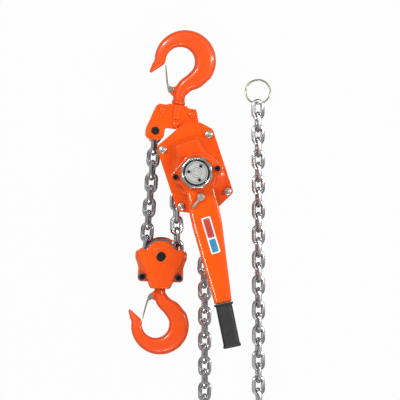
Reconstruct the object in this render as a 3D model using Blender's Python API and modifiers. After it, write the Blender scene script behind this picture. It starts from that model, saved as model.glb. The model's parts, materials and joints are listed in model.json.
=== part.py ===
"""A lever chain hoist, lying on its back: gear cover down, hand wheel up, top hook towards +Y.

Units are metres. The hoist body, the lever, the yoke with its hook, the block with its hook and
each latch are built in frames of their own, and each frame is an empty on the joint's axis.
"""

import math

import bmesh
import bpy
from mathutils import Matrix, Vector

MM = 0.001
GAP = 0.3 * MM  # clearance between pieces that touch or slide

# Places in the plane and tilts, seen from the hand wheel's side
HUB = (26.3 * MM, 43.4 * MM)
BODY_TILT = math.radians(18.2)
LEVER_TILT = math.radians(11.6)
YOKE_COLLAR = (-14.4 * MM, 201.6 * MM)
YOKE_TILT = math.radians(-9.4)
BLOCK_AXLE = (-53.6 * MM, -145.4 * MM)
BLOCK_TILT = math.radians(-2)

# Load chain: 10 mm wire, 28 mm pitch
CHAIN_WIDTH = 31 * MM
CHAIN_RUN = CHAIN_WIDTH / 2 + 0.8 * MM  # radius that a groove leaves for the chain
SHEAVE_PITCH_RADIUS = 45.6 * MM
IDLER_PITCH_RADIUS = 36 * MM
FLANGE_OVER = 4 * MM  # how far the sheaves' flanges stand over the pitch circle

# Depths of the body, from the back
GEAR_COVER_DEPTH = 34.3 * MM
GEAR_COVER_WALL = 3 * MM
SIDE_PLATE = 5 * MM
YOKE_INNER_HALF = 18 * MM  # half the gap between the two yoke plates
YOKE_PLATE = 5 * MM
BRAKE_COVER_DEPTH = 25.4 * MM
BRAKE_COVER_WALL = 3 * MM
LEVER_REAR_DEPTH = 12 * MM
LEVER_FRONT_DEPTH = 16 * MM
LEVER_WALL = 2.5 * MM
WHEEL_HEIGHT = 34 * MM

PLATE_GAP_HALF = YOKE_INNER_HALF + YOKE_PLATE + 0.5 * MM
Z_GEAR_PLATE = GEAR_COVER_DEPTH + GAP
Z_CHAIN = Z_GEAR_PLATE + SIDE_PLATE + PLATE_GAP_HALF
Z_RATCHET_PLATE = Z_CHAIN + PLATE_GAP_HALF
Z_BRAKE_COVER = Z_RATCHET_PLATE + SIDE_PLATE + GAP
Z_BRAKE_COVER_TOP = Z_BRAKE_COVER + BRAKE_COVER_DEPTH
Z_LEVER = Z_BRAKE_COVER_TOP + 1 * MM
Z_LEVER_FRONT = Z_LEVER + LEVER_REAR_DEPTH + GAP
Z_LEVER_TOP = Z_LEVER_FRONT + LEVER_FRONT_DEPTH
Z_WHEEL = Z_LEVER_TOP + 1.5 * MM
Z_WHEEL_TOP = Z_WHEEL + WHEEL_HEIGHT

# Body plates, in the body's frame: corners with their radii
PLATE_OUTLINE = (
    (-68, -69, 10), (-2, -100.5, 12), (65.5, -68, 10), (65.5, 82, 14),
    (43, 105.5, 8), (12, 117, 10), (-68, 84, 12),
)
COVER_STUDS = {
    "upper_left": (-56, 73), "upper_right": (53, 73),
    "lower_right": (53, -61.7), "lower_left": (-56, -61.7),
}
STUD_RADIUS = 4 * MM
STAYS = {"left": (-36, 78), "right": (41.5, 87.5), "lower": (-22, -76)}
STAY_RADIUS = 6 * MM
DOME_FOOT = (
    (-56, -56, 56), (56, -56, 56), (56, 22, 20), (37.5, 46, 12),
    (34, 80, 14), (-34, 80, 14), (-37.5, 46, 12), (-56, 22, 20),
)
DOME_SLOPE = 9 * MM

# Gears: teeth of one module, two stepped gears between the pinion and the load gear
GEAR_MODULE = 2.5 * MM
PINION_TEETH = 10
DISC_TEETH = 28
STEP_TEETH = 12
LOAD_TEETH = 26
DISC_DISTANCE = GEAR_MODULE * (PINION_TEETH + DISC_TEETH) / 2
DISC_SHAFT_RADIUS = 5 * MM
Z_DISC_GEARS = (10 * MM, 19 * MM)
Z_LOAD_GEARS = (22 * MM, 32 * MM)
SHAFT_RADIUS = 9 * MM
JOURNAL_RADIUS = 18 * MM
BEARING_RADIUS = 24 * MM

# Brake: friction hub, two friction discs, the ratchet disc between them, two pawls
BRAKE_RADIUS = 34.5 * MM
BRAKE_HUB_RADIUS = 16 * MM
FRICTION_DISC = 2.5 * MM
RATCHET_TEETH = 16
RATCHET_TIP = 40 * MM
RATCHET_ROOT = 36.5 * MM
RATCHET_DISC = 6 * MM
PAWL_TOOTH_ANGLES = (math.radians(33.75), math.radians(78.75))
PAWL_PIN_RADIUS = 3.5 * MM
PAWL_PIN_DISTANCE = 58 * MM
PAWL_TIP_RADIUS = 42 * MM  # riding on the tips of the teeth
PAWL_LEAD = math.radians(34)  # how far round from its tooth the pawl's pin stands

# Lever, in its own frame: the arm runs towards -Y
LEVER_EAR = 48 * MM
CHANGE_GEAR_TEETH = 12
CHANGE_GEAR_TIP = 27.3 * MM
CHANGE_GEAR_ROOT = 22 * MM
PAN_SIDE = ((60.5, 5.5, 10), (60.5, -8, 9), (38, -22, 8), (31, -42, 14))
PAN_TOP = (12, 42.5, 16)
ARM_SIDE = ((31, -60, 12), (33.5, -88, 12), (33, -120, 20), (19, -298, 4))
PAN_END = (31, -66, 4)
SELECTOR = (-1.2 * MM, -55.3 * MM)
SELECTOR_SIDE = math.radians(49)  # the finger's angle from the arm's middle line
SPINDLE_RADIUS = 4 * MM
TOE_REACH = -SELECTOR[1] - CHANGE_GEAR_TIP - 0.8 * MM
GRIP_START = -299 * MM
GRIP_LENGTH = 101 * MM
GRIP_WIDTH = 38 * MM
GRIP_DEPTH = 30 * MM
TANG_WIDTH = 29 * MM
TANG_DEPTH = 14 * MM
TANG_LENGTH = 84 * MM

# Hand wheel
WHEEL_RADIUS = 39 * MM
WHEEL_LOBES = 8
CUP_RADIUS = 30 * MM
CUP_DEPTH = 14 * MM
WHEEL_HUB_RADIUS = 18 * MM

# Yoke, in the frame of its hook: +Y runs along the shank, towards the hook
YOKE_OUTLINE = (
    (-62.5, -91.4, 20.5), (-20.5, -91.4, 20.5), (-20.5, -62, 4), (-14, -60.5, 5),
    (12, -60, 5), (12, -79, 17), (50, -79, 17), (54, -42, 10),
    (44, -10.5, 13), (24, -9, 4), (20, -5, 4), (-20, -5.5, 4), (-29, -11, 5), (-47, -9, 12),
    (-63, -68, 12),
)
YOKE_PIN = (31 * MM, -61.5 * MM)
YOKE_PIN_RADIUS = 8 * MM
ANCHOR_PIN = (-41.2 * MM, -70.9 * MM)
ANCHOR_PIN_RADIUS = 9.5 * MM
YOKE_RIVETS = ((-32.7, -22.8), (34.6, -22.8), (0.6, -49.2))
RIVET_RADIUS = 5 * MM
SOCKET_SIZE = (85 * MM, 24 * MM)
SOCKET_TOP = -9 * MM

# Hooks, in the hook's frame at full size: (inner x, y), (outer x, y), thickness
HOOK_NECK = (
    ((-10, -1), (10, -1), 20), ((-13.5, 12), (12.5, 11), 29), ((-12.5, 26), (13.8, 18.5), 31),
    ((-10, 40), (25, 31.5), 34), ((-2, 53), (42, 41.5), 36), ((9.5, 65), (55.5, 57.5), 37),
)
BOWL = (-11.3, 91.9, 33)  # centre and radius of the bowl
BACK = (-0.5, 95.5, 69.5)  # centre and radius of the hook's outer side
BOWL_ANGLES = (-22, 0, 25, 50, 75, 100, 125, 150, 172, 190)
BOWL_THICKNESS = (38, 38, 38, 38, 37, 36, 34, 31, 28, 26)
HOOK_TIP = (((-48, 78.5), (-73, 76), 22), ((-60, 67), (-74.5, 67), 16), ((-70, 58), (-75, 61), 7))
SHANK_RADIUS = 14
COLLAR_RADIUS = 15.2
HEAD_RADIUS = 17.3
HEAD_HEIGHT = 5.5
LATCH_LUG = ((-9, 9, 1), (-24.5, 20.5, 4), (-23, 29.5, 4), (-7, 37, 1))
LATCH_PIVOT = (-20.5, 25.2)
LATCH_LEAN = math.radians(15.2)
LATCH_PIN_RADIUS = 3
LUG_HALF = 6.5

# Block, in its own frame: the axle is the origin
BLOCK_HALF = 38 * MM
BLOCK_FACE = 5 * MM
BLOCK_SLOPE = 4 * MM
BLOCK_CAVITY = IDLER_PITCH_RADIUS + CHAIN_RUN + 1 * MM
BLOCK_LOWER = (
    (21, -72.5, 7), (25, -67, 5), (28, -57, 5), (52, -57, 9), (50.5, -27, 9),
    (59, 3, 14), (49, 20.5, 7), (36, 15, 6),
)
FRONT_ARCH = (26, 36.7, 22)
REAR_ARCH = (32, 45.6, 26)
BLOCK_BOLT = (41 * MM, -46.5 * MM)
BLOCK_BOLT_RADIUS = 5 * MM
BLOCK_BOLT_RECESS = 22 * MM  # height of the lugs' faces over the joint
BLOCK_AXLE_RADIUS = 10.75 * MM
BOTTOM_HOOK_SCALE = 0.94
BOTTOM_HOOK_DROP = 66 * MM  # from the axle down to the hook's collar

# Slack end of the chain: its route over the floor, about 3 m long
SLACK_EXIT_ANGLE = math.radians(-8)  # where the chain leaves the load sheave
SLACK_ROUTE = (
    (55.4, -76, 62.6), (51, -104, 50), (47, -131, 30), (43.8, -160, 17.5), (43.2, -195, 16),
    (44.5, -232, 16), (44.5, -290, 16), (44.5, -350, 16), (44.5, -410, 16), (43, -470, 16),
    (30, -525, 16), (0, -572, 16), (-42, -612, 16), (-78, -654, 16), (-96, -704, 16),
    (-99, -765, 16), (-99, -826, 16), (-79, -876, 16), (-31, -898, 16), (17, -876, 16),
    (37, -826, 16), (37, -760, 16), (37, -700, 16), (57, -652, 16), (105, -630, 16),
    (153, -652, 16), (173, -700, 16), (173, -760, 16), (173, -826, 16), (193, -876, 16),
    (241, -898, 16), (289, -876, 16), (309, -826, 16), (309, -765, 16), (306, -704, 16),
    (288, -654, 16), (252, -612, 16), (210, -572, 16), (180, -525, 16), (167.5, -470, 16),
    (166, -410, 16), (166, -330, 16), (166, -230, 16), (166, -120, 16), (166, 0, 16),
    (165.4, 100, 16), (164.9, 196.6, 16),
)
CHAIN_STEP = 62 * MM
FALL_LEVEL = 46 * MM  # over this length above the axle the falls stay level with the block
FALL_LEAVES_PLATES = 95 * MM  # the live fall leaves the side plates this far below the hub
RING_CENTRE = (164.9 * MM, 227.2 * MM)
RING_RADIUS = 27.8 * MM
RING_WIRE = 2.4 * MM

ORANGE = (0.90, 0.15, 0.012)
FINISHES = {
    "orange_paint": (ORANGE, 0.0, 0.28),
    "chrome": ((0.75, 0.75, 0.76), 1.0, 0.12),
    "zinc": ((0.62, 0.60, 0.55), 1.0, 0.35),
    "chain_steel": ((0.55, 0.55, 0.56), 1.0, 0.30),
    "machined_steel": ((0.50, 0.50, 0.52), 1.0, 0.38),
    "black_steel": ((0.03, 0.03, 0.03), 0.6, 0.45),
    "friction_lining": ((0.20, 0.15, 0.11), 0.0, 0.85),
    "black_rubber": ((0.025, 0.025, 0.027), 0.0, 0.70),
}


def clear_scene():
    for obj in list(bpy.data.objects):
        bpy.data.objects.remove(obj, do_unlink=True)


def collection(name):
    made = bpy.data.collections.new(name)
    bpy.context.scene.collection.children.link(made)
    return made


def finish(name, kind):
    """The part's own material: a Principled BSDF with the finish's colour, metal and roughness."""
    colour, metallic, roughness = FINISHES[kind]
    material = bpy.data.materials.new(name)
    material.use_nodes = True
    shader = material.node_tree.nodes["Principled BSDF"]
    shader.inputs["Base Color"].default_value = (*colour, 1)
    shader.inputs["Metallic"].default_value = metallic
    shader.inputs["Roughness"].default_value = roughness
    return material


def frame_empty(name, place, turn=(0, 0, 0), parent=None):
    """An empty whose axes are a sub-assembly's own frame."""
    obj = bpy.data.objects.new(name, None)
    PARTS.objects.link(obj)
    obj.location = place
    obj.rotation_euler = turn
    obj.parent = parent
    return obj


def part(name, kind, mesh, parent):
    """A named piece. kind None makes a hidden cutter."""
    obj = bpy.data.objects.new(name, mesh)
    obj.parent = parent
    if kind is None:
        CUTTERS.objects.link(obj)
        obj.hide_render = True
        obj.display_type = "WIRE"
    else:
        PARTS.objects.link(obj)
        mesh.materials.append(finish(name, kind))
        mesh.shade_smooth()
        mesh.set_sharp_from_angle(angle=math.radians(30))
    return obj


def boolean(target, tool, operation):
    modifier = target.modifiers.new(tool.name, "BOOLEAN")
    modifier.operation = operation
    modifier.solver = "EXACT"
    modifier.object = tool


def cut(target, *tools):
    for tool in tools:
        boolean(target, tool, "DIFFERENCE")


def join(target, *tools):
    for tool in tools:
        boolean(target, tool, "UNION")


def scaled(points, factor=MM):
    return [tuple(value * factor for value in point) for point in points]


def mirrored(side, *middle):
    """An outline from its right side, listed bottom to top, and points given for both sides."""
    right = list(side) + list(middle)
    return right + [(-x, y, r) for x, y, r in reversed(right)]


def rounded(corners, steps=2):
    """The outline's points in metres, with an arc of each corner's own radius."""
    found = []
    for i, (x, y, radius) in enumerate(corners):
        here = Vector((x, y))
        before = Vector(corners[i - 1][:2]) - here
        after = Vector(corners[(i + 1) % len(corners)][:2]) - here
        half = before.angle(after) / 2
        tangent = min(radius / math.tan(half), 0.49 * before.length, 0.49 * after.length)
        radius = tangent * math.tan(half)
        middle = (before.normalized() + after.normalized()).normalized()
        centre = here + middle * (radius / math.sin(half))
        start = here + before.normalized() * tangent - centre
        turn = start.angle_signed(here + after.normalized() * tangent - centre)
        for k in range(steps + 1):
            point = centre + Matrix.Rotation(-turn * k / steps, 2) @ start
            found.append((point.x * MM, point.y * MM))
    return found


def inset(outline, distance):
    """The outline moved inwards by a distance; its points run anticlockwise."""
    found = []
    for i, point in enumerate(outline):
        here = Vector(point)
        before = (here - Vector(outline[i - 1])).normalized()
        after = (Vector(outline[(i + 1) % len(outline)]) - here).normalized()
        inwards = Vector((-before.y - after.y, before.x + after.x)).normalized()
        share = max(0.3, inwards.dot(Vector((-before.y, before.x))))
        found.append(tuple(here + inwards * distance / share))
    return found


def circle(radius, steps, x=0.0, y=0.0, phase=0.0):
    turns = [phase + math.tau * k / steps for k in range(steps)]
    return [(x + radius * math.cos(a), y + radius * math.sin(a)) for a in turns]


def polar(radius, angle):
    return (radius * math.cos(angle), radius * math.sin(angle))


def flat(name, kind, outline, bottom, top, parent, holes=()):
    """A flat piece: a filled 2D curve, extruded both ways from its middle and made a mesh."""
    curve = bpy.data.curves.new(name, "CURVE")
    curve.dimensions = "2D"
    curve.fill_mode = "BOTH"
    curve.extrude = (top - bottom) / 2
    for ring in (outline, *holes):
        spline = curve.splines.new("POLY")
        spline.points.add(len(ring) - 1)
        for point, (x, y) in zip(spline.points, ring):
            point.co = (x, y, 0, 1)
        spline.use_cyclic_u = True
    mesh = curve_mesh(curve)
    mesh.transform(Matrix.Translation((0, 0, (top + bottom) / 2)))
    return part(name, kind, mesh, parent)


def curve_mesh(curve):
    """The curve's own mesh, with its loose caps welded on."""
    guide = bpy.data.objects.new("guide", curve)
    PARTS.objects.link(guide)
    graph = bpy.context.evaluated_depsgraph_get()
    mesh = bpy.data.meshes.new_from_object(guide.evaluated_get(graph))
    bpy.data.objects.remove(guide)
    bpy.data.curves.remove(curve)
    shape = bmesh.new()
    shape.from_mesh(mesh)
    bmesh.ops.remove_doubles(shape, verts=shape.verts, dist=0.001 * MM)
    bmesh.ops.recalc_face_normals(shape, faces=shape.faces)
    shape.to_mesh(mesh)
    shape.free()
    mesh.materials.clear()
    return mesh


def loft(name, kind, rings, parent):
    """A closed body through rings of equally many 3D points."""
    shape = bmesh.new()
    rows = [[shape.verts.new(point) for point in ring] for ring in rings]
    count = len(rows[0])
    for low, high in zip(rows, rows[1:]):
        for i in range(count):
            j = (i + 1) % count
            shape.faces.new((low[i], low[j], high[j], high[i]))
    shape.faces.new(list(reversed(rows[0])))
    shape.faces.new(rows[-1])
    bmesh.ops.recalc_face_normals(shape, faces=shape.faces)
    mesh = bpy.data.meshes.new(name)
    shape.to_mesh(mesh)
    shape.free()
    return part(name, kind, mesh, parent)


def level(outline, z):
    return [(x, y, z) for x, y in outline]


def turned(name, kind, profile, parent, steps=20, centre=(0, 0)):
    """A turned piece about Z. The profile's (radius, z) run down the outer side, top to bottom."""
    mesh = bpy.data.meshes.new(name)
    ring = profile[0][0] > 0
    count = len(profile)
    edges = [(i, (i + 1) % count) for i in range(count if ring else count - 1)]
    mesh.from_pydata([(r, 0, z) for r, z in profile], edges, [])
    obj = part(name, kind, mesh, parent)
    obj.location = (*centre, 0)
    screw = obj.modifiers.new("turn", "SCREW")
    screw.steps = screw.render_steps = steps
    screw.use_merge_vertices = True
    screw.merge_threshold = 0.01 * MM
    screw.use_smooth_shade = True
    return obj


def cylinder(name, kind, radius, bottom, top, parent, centre=(0, 0), steps=16):
    shape = bmesh.new()
    bmesh.ops.create_cone(
        shape, cap_ends=True, segments=steps, radius1=radius, radius2=radius, depth=top - bottom
    )
    bmesh.ops.translate(shape, verts=shape.verts, vec=(*centre, (top + bottom) / 2))
    mesh = bpy.data.meshes.new(name)
    shape.to_mesh(mesh)
    shape.free()
    return part(name, kind, mesh, parent)


def box(name, kind, low, high, parent):
    shape = bmesh.new()
    bmesh.ops.create_cube(shape, size=1)
    size = [h - l for l, h in zip(low, high)]
    bmesh.ops.scale(shape, verts=shape.verts, vec=size)
    bmesh.ops.translate(shape, verts=shape.verts, vec=[(l + h) / 2 for l, h in zip(low, high)])
    mesh = bpy.data.meshes.new(name)
    shape.to_mesh(mesh)
    shape.free()
    return part(name, kind, mesh, parent)


def along_y(obj):
    """Turns a mesh that was built about Z so that its axis is the frame's Y."""
    obj.data.transform(Matrix.Rotation(math.radians(-90), 4, "X"))
    return obj


def tube(name, kind, points, radius, bevel_resolution=2):
    curve = bpy.data.curves.new(name, "CURVE")
    curve.dimensions = "3D"
    curve.bevel_depth = radius
    curve.bevel_resolution = bevel_resolution
    curve.use_fill_caps = True
    spline = curve.splines.new("POLY")
    spline.points.add(len(points) - 1)
    for target, point in zip(spline.points, points):
        target.co = (*point, 1)
    return part(name, kind, curve_mesh(curve), None)


def smooth_route(points, step):
    """Evenly spaced points on the smooth curve through the route's own points."""
    points = [Vector(p) for p in points]
    ends = [2 * points[0] - points[1], *points, 2 * points[-1] - points[-2]]
    fine = []
    for a, b, c, d in zip(ends, ends[1:], ends[2:], ends[3:]):
        for k in range(24):
            t = k / 24
            fine.append(
                0.5 * ((2 * b) + (c - a) * t + (2 * a - 5 * b + 4 * c - d) * t**2
                       + (3 * b - a - 3 * c + d) * t**3)
            )
    fine.append(points[-1])
    total = sum((q - p).length for p, q in zip(fine, fine[1:]))
    pieces = max(1, round(total / step))
    found, passed, target = [fine[0]], 0.0, total / pieces
    for p, q in zip(fine, fine[1:]):
        while len(found) < pieces and passed + (q - p).length >= target * len(found):
            found.append(p.lerp(q, (target * len(found) - passed) / (q - p).length))
        passed += (q - p).length
    return [*found, fine[-1]]


def gear_outline(teeth, phase, flip=False):
    """Straight-sided teeth with some play; one tooth, or with flip one gap, is at the phase."""
    step = math.tau / teeth
    root = GEAR_MODULE * (teeth / 2 - 1.2)
    tip = GEAR_MODULE * (teeth / 2 + 0.9)
    found = []
    for k in range(teeth):
        middle = phase + step * (k + (0.5 if flip else 0))
        for radius, share in ((root, -0.31), (tip, -0.12), (tip, 0.12), (root, 0.31)):
            found.append(polar(radius, middle + step * share))
    return found


def in_plane(frame, point):
    """A point of one frame in the plane of the whole hoist."""
    (x, y), tilt = frame
    turned_point = Matrix.Rotation(tilt, 2) @ Vector(point)
    return (x + turned_point.x, y + turned_point.y)


def in_frame(frame, point):
    """A point of the hoist's plane in one frame."""
    (x, y), tilt = frame
    return tuple(Matrix.Rotation(-tilt, 2) @ Vector((point[0] - x, point[1] - y)))


def yoke_pin_in_body():
    return in_frame((HUB, BODY_TILT), in_plane((YOKE_COLLAR, YOKE_TILT), YOKE_PIN))


def plate_holes(extra):
    """The holes that both side plates have, and some of their own."""
    holes = [circle(BEARING_RADIUS + GAP, 20)]
    holes += [circle(STAY_RADIUS + GAP, 8, *scaled([place])[0]) for place in STAYS.values()]
    holes.append(circle(YOKE_PIN_RADIUS + GAP, 16, *yoke_pin_in_body()))
    return holes + extra


def gear_cover(body):
    outer = rounded([(-43, -90.5, 43), (43, -90.5, 43), (43, 90.5, 43), (-43, 90.5, 43)], 6)
    rings = [level(inset(outer, 4 * MM), 0), level(outer, 4 * MM), level(outer, GEAR_COVER_DEPTH - 1.3 * MM)]
    cover = loft("gear_cover", "orange_paint", rings, body)
    flange_top = GEAR_COVER_DEPTH
    holes = [circle(STUD_RADIUS + GAP, 8, *scaled([p])[0]) for p in COVER_STUDS.values()]
    flange = flat("gear_cover_flange", None, rounded(PLATE_OUTLINE),
                  flange_top - GEAR_COVER_WALL, flange_top, body, holes)
    inside = flat("gear_cover_inside", None, inset(outer, GEAR_COVER_WALL),
                  GEAR_COVER_WALL, flange_top + 1 * MM, body)
    join(cover, flange)
    cut(cover, inside)
    for i, y in enumerate((-DISC_DISTANCE, 0, DISC_DISTANCE)):
        boss = turned(f"gear_cover_boss_{i}", None,
                      [(9 * MM, 7 * MM), (9 * MM, 2 * MM), (DISC_SHAFT_RADIUS + GAP, 2 * MM),
                       (DISC_SHAFT_RADIUS + GAP, 7 * MM)], body, 12, (0, y))
        join(cover, boss)


def side_plates(body):
    studs = [circle(STUD_RADIUS + GAP, 8, *scaled([p])[0]) for p in COVER_STUDS.values()]
    shafts = [circle(DISC_SHAFT_RADIUS + GAP, 12, 0, y) for y in (-DISC_DISTANCE, DISC_DISTANCE)]
    outline = rounded(PLATE_OUTLINE)
    flat("gear_side_plate", "orange_paint", outline, Z_GEAR_PLATE, Z_GEAR_PLATE + SIDE_PLATE,
         body, plate_holes(studs + shafts))
    plate = flat("ratchet_side_plate", "orange_paint", outline, Z_RATCHET_PLATE,
                 Z_RATCHET_PLATE + SIDE_PLATE, body, plate_holes(studs))
    for i, angle in enumerate(PAWL_TOOTH_ANGLES):
        pin = cylinder(f"pawl_pin_{i}", None, PAWL_PIN_RADIUS, Z_RATCHET_PLATE + 1 * MM,
                       Z_BRAKE_COVER + 17 * MM, body,
                       polar(PAWL_PIN_DISTANCE, angle + PAWL_LEAD), 12)
        join(plate, pin)


def stays_and_bearings(body):
    low, high = Z_GEAR_PLATE + GAP, Z_RATCHET_PLATE + SIDE_PLATE - GAP
    for name, place in STAYS.items():
        shoulder = STAY_RADIUS + 2 * MM
        profile = [(0, high), (STAY_RADIUS, high), (STAY_RADIUS, Z_RATCHET_PLATE - GAP),
                   (shoulder, Z_RATCHET_PLATE - GAP), (shoulder, Z_GEAR_PLATE + SIDE_PLATE + GAP),
                   (STAY_RADIUS, Z_GEAR_PLATE + SIDE_PLATE + GAP), (STAY_RADIUS, low), (0, low)]
        turned(f"stay_{name}", "machined_steel", profile, body, 8, scaled([place])[0])
    for name, base in (("back", Z_GEAR_PLATE), ("front", Z_RATCHET_PLATE)):
        top, bottom, bore = base + SIDE_PLATE, base, JOURNAL_RADIUS + GAP
        profile = [(bore, top), (BEARING_RADIUS, top), (BEARING_RADIUS, bottom), (bore, bottom)]
        turned(f"sheave_bearing_{name}", "machined_steel", profile, body)
    finger = rounded([(-34, -87, 10), (-14, -87, 8), (-9, -66, 8), (-1, -34, 2), (-7, -33, 2),
                      (-34, -64, 8)])
    hole = circle(STAY_RADIUS + 2 * MM + GAP, 12, *scaled([STAYS["lower"]])[0])
    flat("chain_stripper", "machined_steel", finger, Z_CHAIN - 4 * MM, Z_CHAIN + 4 * MM, body,
         [hole])


def brake_cover(body):
    foot = rounded(DOME_FOOT, 4)
    base, top = Z_BRAKE_COVER, Z_BRAKE_COVER_TOP
    crown = inset(foot, DOME_SLOPE)
    low = base + BRAKE_COVER_WALL / 2
    cover = loft("brake_cover", "orange_paint",
                 [level(foot, low), level(inset(foot, 1 * MM), base + 6 * MM),
                  level(inset(foot, 2 * MM), top - 9 * MM), level(crown, top)], body)
    studs = [circle(STUD_RADIUS + GAP, 8, *scaled([p])[0]) for p in COVER_STUDS.values()]
    flange = flat("brake_cover_flange", None, rounded(PLATE_OUTLINE), base,
                  base + BRAKE_COVER_WALL, body, studs)
    wall = BRAKE_COVER_WALL
    inside = loft("brake_cover_inside", None,
                  [level(inset(foot, wall), base - 1 * MM),
                   level(inset(foot, wall + 2 * MM), top - 9 * MM),
                   level(inset(crown, wall), top - wall)], body)
    mouth = cylinder("brake_cover_mouth", None, CHANGE_GEAR_TIP + 1 * MM, top - 10 * MM,
                     top + 5 * MM, body, steps=32)
    join(cover, flange)
    cut(cover, inside, mouth)


def cover_studs(body):
    seat = Z_BRAKE_COVER + BRAKE_COVER_WALL + GAP
    for name, place in COVER_STUDS.items():
        profile = [(0, seat + 10.5 * MM), (STUD_RADIUS - 0.7 * MM, seat + 10.5 * MM),
                   (STUD_RADIUS, seat + 9.5 * MM), (STUD_RADIUS, seat + 8 * MM),
                   (6.2 * MM, seat + 8 * MM), (7 * MM, seat + 7 * MM), (7 * MM, seat + 2 * MM),
                   (9.3 * MM, seat + 1.5 * MM), (9.3 * MM, seat), (STUD_RADIUS, seat),
                   (STUD_RADIUS, Z_RATCHET_PLATE), (0, Z_RATCHET_PLATE)]
        turned(f"cover_stud_{name}", "zinc", profile, body, 8, scaled([place])[0])


def chain_groove(pitch_radius, middle):
    """The chain's round groove, whose flat facets all stay outside the chain's own radius."""
    steps = 6
    radius = CHAIN_RUN * 1.05
    reach = math.acos(FLANGE_OVER / radius)
    found = []
    for k in range(steps + 1):
        angle = reach + (math.pi - reach) * 2 * k / steps
        found.append((pitch_radius + radius * math.cos(angle), middle + radius * math.sin(angle)))
    return found


def load_sheave(body):
    """The chain's groove is turned round the pitch circle; the journals run in the bearings."""
    half = PLATE_GAP_HALF - 2.5 * MM
    flange = SHEAVE_PITCH_RADIUS + FLANGE_OVER
    groove = chain_groove(SHEAVE_PITCH_RADIUS, Z_CHAIN)
    bore = SHAFT_RADIUS + GAP
    front, back = Z_RATCHET_PLATE + SIDE_PLATE - GAP, Z_DISC_GEARS[1] + 1.3 * MM
    journal, spline = JOURNAL_RADIUS, JOURNAL_RADIUS - 3 * MM
    profile = [(bore, front), (journal, front), (journal, Z_CHAIN + half),
               (flange, Z_CHAIN + half), *groove, (flange, Z_CHAIN - half),
               (journal, Z_CHAIN - half), (journal, Z_GEAR_PLATE - GAP),
               (spline, Z_GEAR_PLATE - GAP), (spline, back), (bore, back)]
    turned("load_sheave", "machined_steel", profile, body, 24)
    hole = circle(spline + GAP, 16)
    flat("load_gear", "machined_steel", gear_outline(LOAD_TEETH, math.pi / 2), *Z_LOAD_GEARS,
         body, [hole])


def gear_train(body):
    shaft = turned("pinion_shaft", "machined_steel",
                   [(0, Z_WHEEL + 6 * MM), (SHAFT_RADIUS, Z_WHEEL + 6 * MM),
                    (SHAFT_RADIUS, Z_DISC_GEARS[0]), (DISC_SHAFT_RADIUS, Z_DISC_GEARS[0]),
                    (DISC_SHAFT_RADIUS, 4 * MM), (0, 4 * MM)], body, 16)
    pinion = flat("pinion_teeth", None, gear_outline(PINION_TEETH, math.pi / 2), *Z_DISC_GEARS,
                  body)
    join(shaft, pinion)
    top = Z_GEAR_PLATE + SIDE_PLATE - GAP
    for number, side in ((1, 1), (2, -1)):
        axis = frame_empty(f"disc_gear_{number}_axis", (0, side * DISC_DISTANCE, 0), parent=body)
        towards_hub = -side * math.pi / 2
        gear = turned(f"disc_gear_{number}", "machined_steel",
                      [(0, top), (DISC_SHAFT_RADIUS, top), (DISC_SHAFT_RADIUS, Z_LOAD_GEARS[1]),
                       (10 * MM, Z_LOAD_GEARS[1]), (10 * MM, Z_DISC_GEARS[0]),
                       (DISC_SHAFT_RADIUS, Z_DISC_GEARS[0]), (DISC_SHAFT_RADIUS, 4 * MM),
                       (0, 4 * MM)], axis, 12)
        disc = flat(f"disc_teeth_{number}", None,
                    gear_outline(DISC_TEETH, towards_hub, flip=True), *Z_DISC_GEARS, axis)
        step = flat(f"step_teeth_{number}", None,
                    gear_outline(STEP_TEETH, towards_hub, flip=True), *Z_LOAD_GEARS, axis)
        join(gear, disc, step)


def brake(body):
    """From the ratchet plate outwards: hub, disc, ratchet disc, disc, then the change gear."""
    z = Z_BRAKE_COVER + 1.4 * MM
    flange = 5 * MM
    first = z + flange + GAP
    ratchet = first + FRICTION_DISC + GAP
    second = ratchet + RATCHET_DISC + GAP
    change = second + FRICTION_DISC + GAP
    bore = SHAFT_RADIUS + GAP
    turned("friction_hub", "machined_steel",
           [(bore, change - GAP), (BRAKE_HUB_RADIUS, change - GAP), (BRAKE_HUB_RADIUS, z + flange),
            (BRAKE_RADIUS, z + flange), (BRAKE_RADIUS, z), (bore, z)], body)
    hole = BRAKE_HUB_RADIUS + GAP
    for number, low in ((1, first), (2, second)):
        high = low + FRICTION_DISC
        profile = [(hole, high), (BRAKE_RADIUS, high), (BRAKE_RADIUS, low), (hole, low)]
        turned(f"friction_disc_{number}", "friction_lining", profile, body)
    step = math.tau / RATCHET_TEETH
    teeth = []
    for k in range(RATCHET_TEETH):
        angle = PAWL_TOOTH_ANGLES[0] + step * k
        teeth += [polar(RATCHET_TIP, angle), polar(RATCHET_ROOT, angle + 0.01)]
    flat("ratchet_disc", "machined_steel", teeth, ratchet, ratchet + RATCHET_DISC, body,
         [circle(hole, 20)])
    for number, angle in enumerate(PAWL_TOOTH_ANGLES, 1):
        place = polar(PAWL_PIN_DISTANCE, angle + PAWL_LEAD)
        tip = polar(PAWL_TIP_RADIUS, angle)
        lean = math.atan2(tip[1] - place[1], tip[0] - place[0])
        axis = frame_empty(f"pawl_{number}_axis", (*place, 0), (0, 0, lean), body)
        outline = rounded([(-6.5, -6.5, 6.4), (0, -6.5, 1), (18, -3.6, 3), (33.3, -1.5, 0.4),
                           (31.3, 3.5, 1), (20, 4.6, 4), (0, 6.5, 1), (-6.5, 6.5, 6.4)])
        flat(f"pawl_{number}", "machined_steel", outline, ratchet, ratchet + RATCHET_DISC, axis,
             [circle(PAWL_PIN_RADIUS + GAP, 12)])
    change_gear(body, change, bore)


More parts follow.
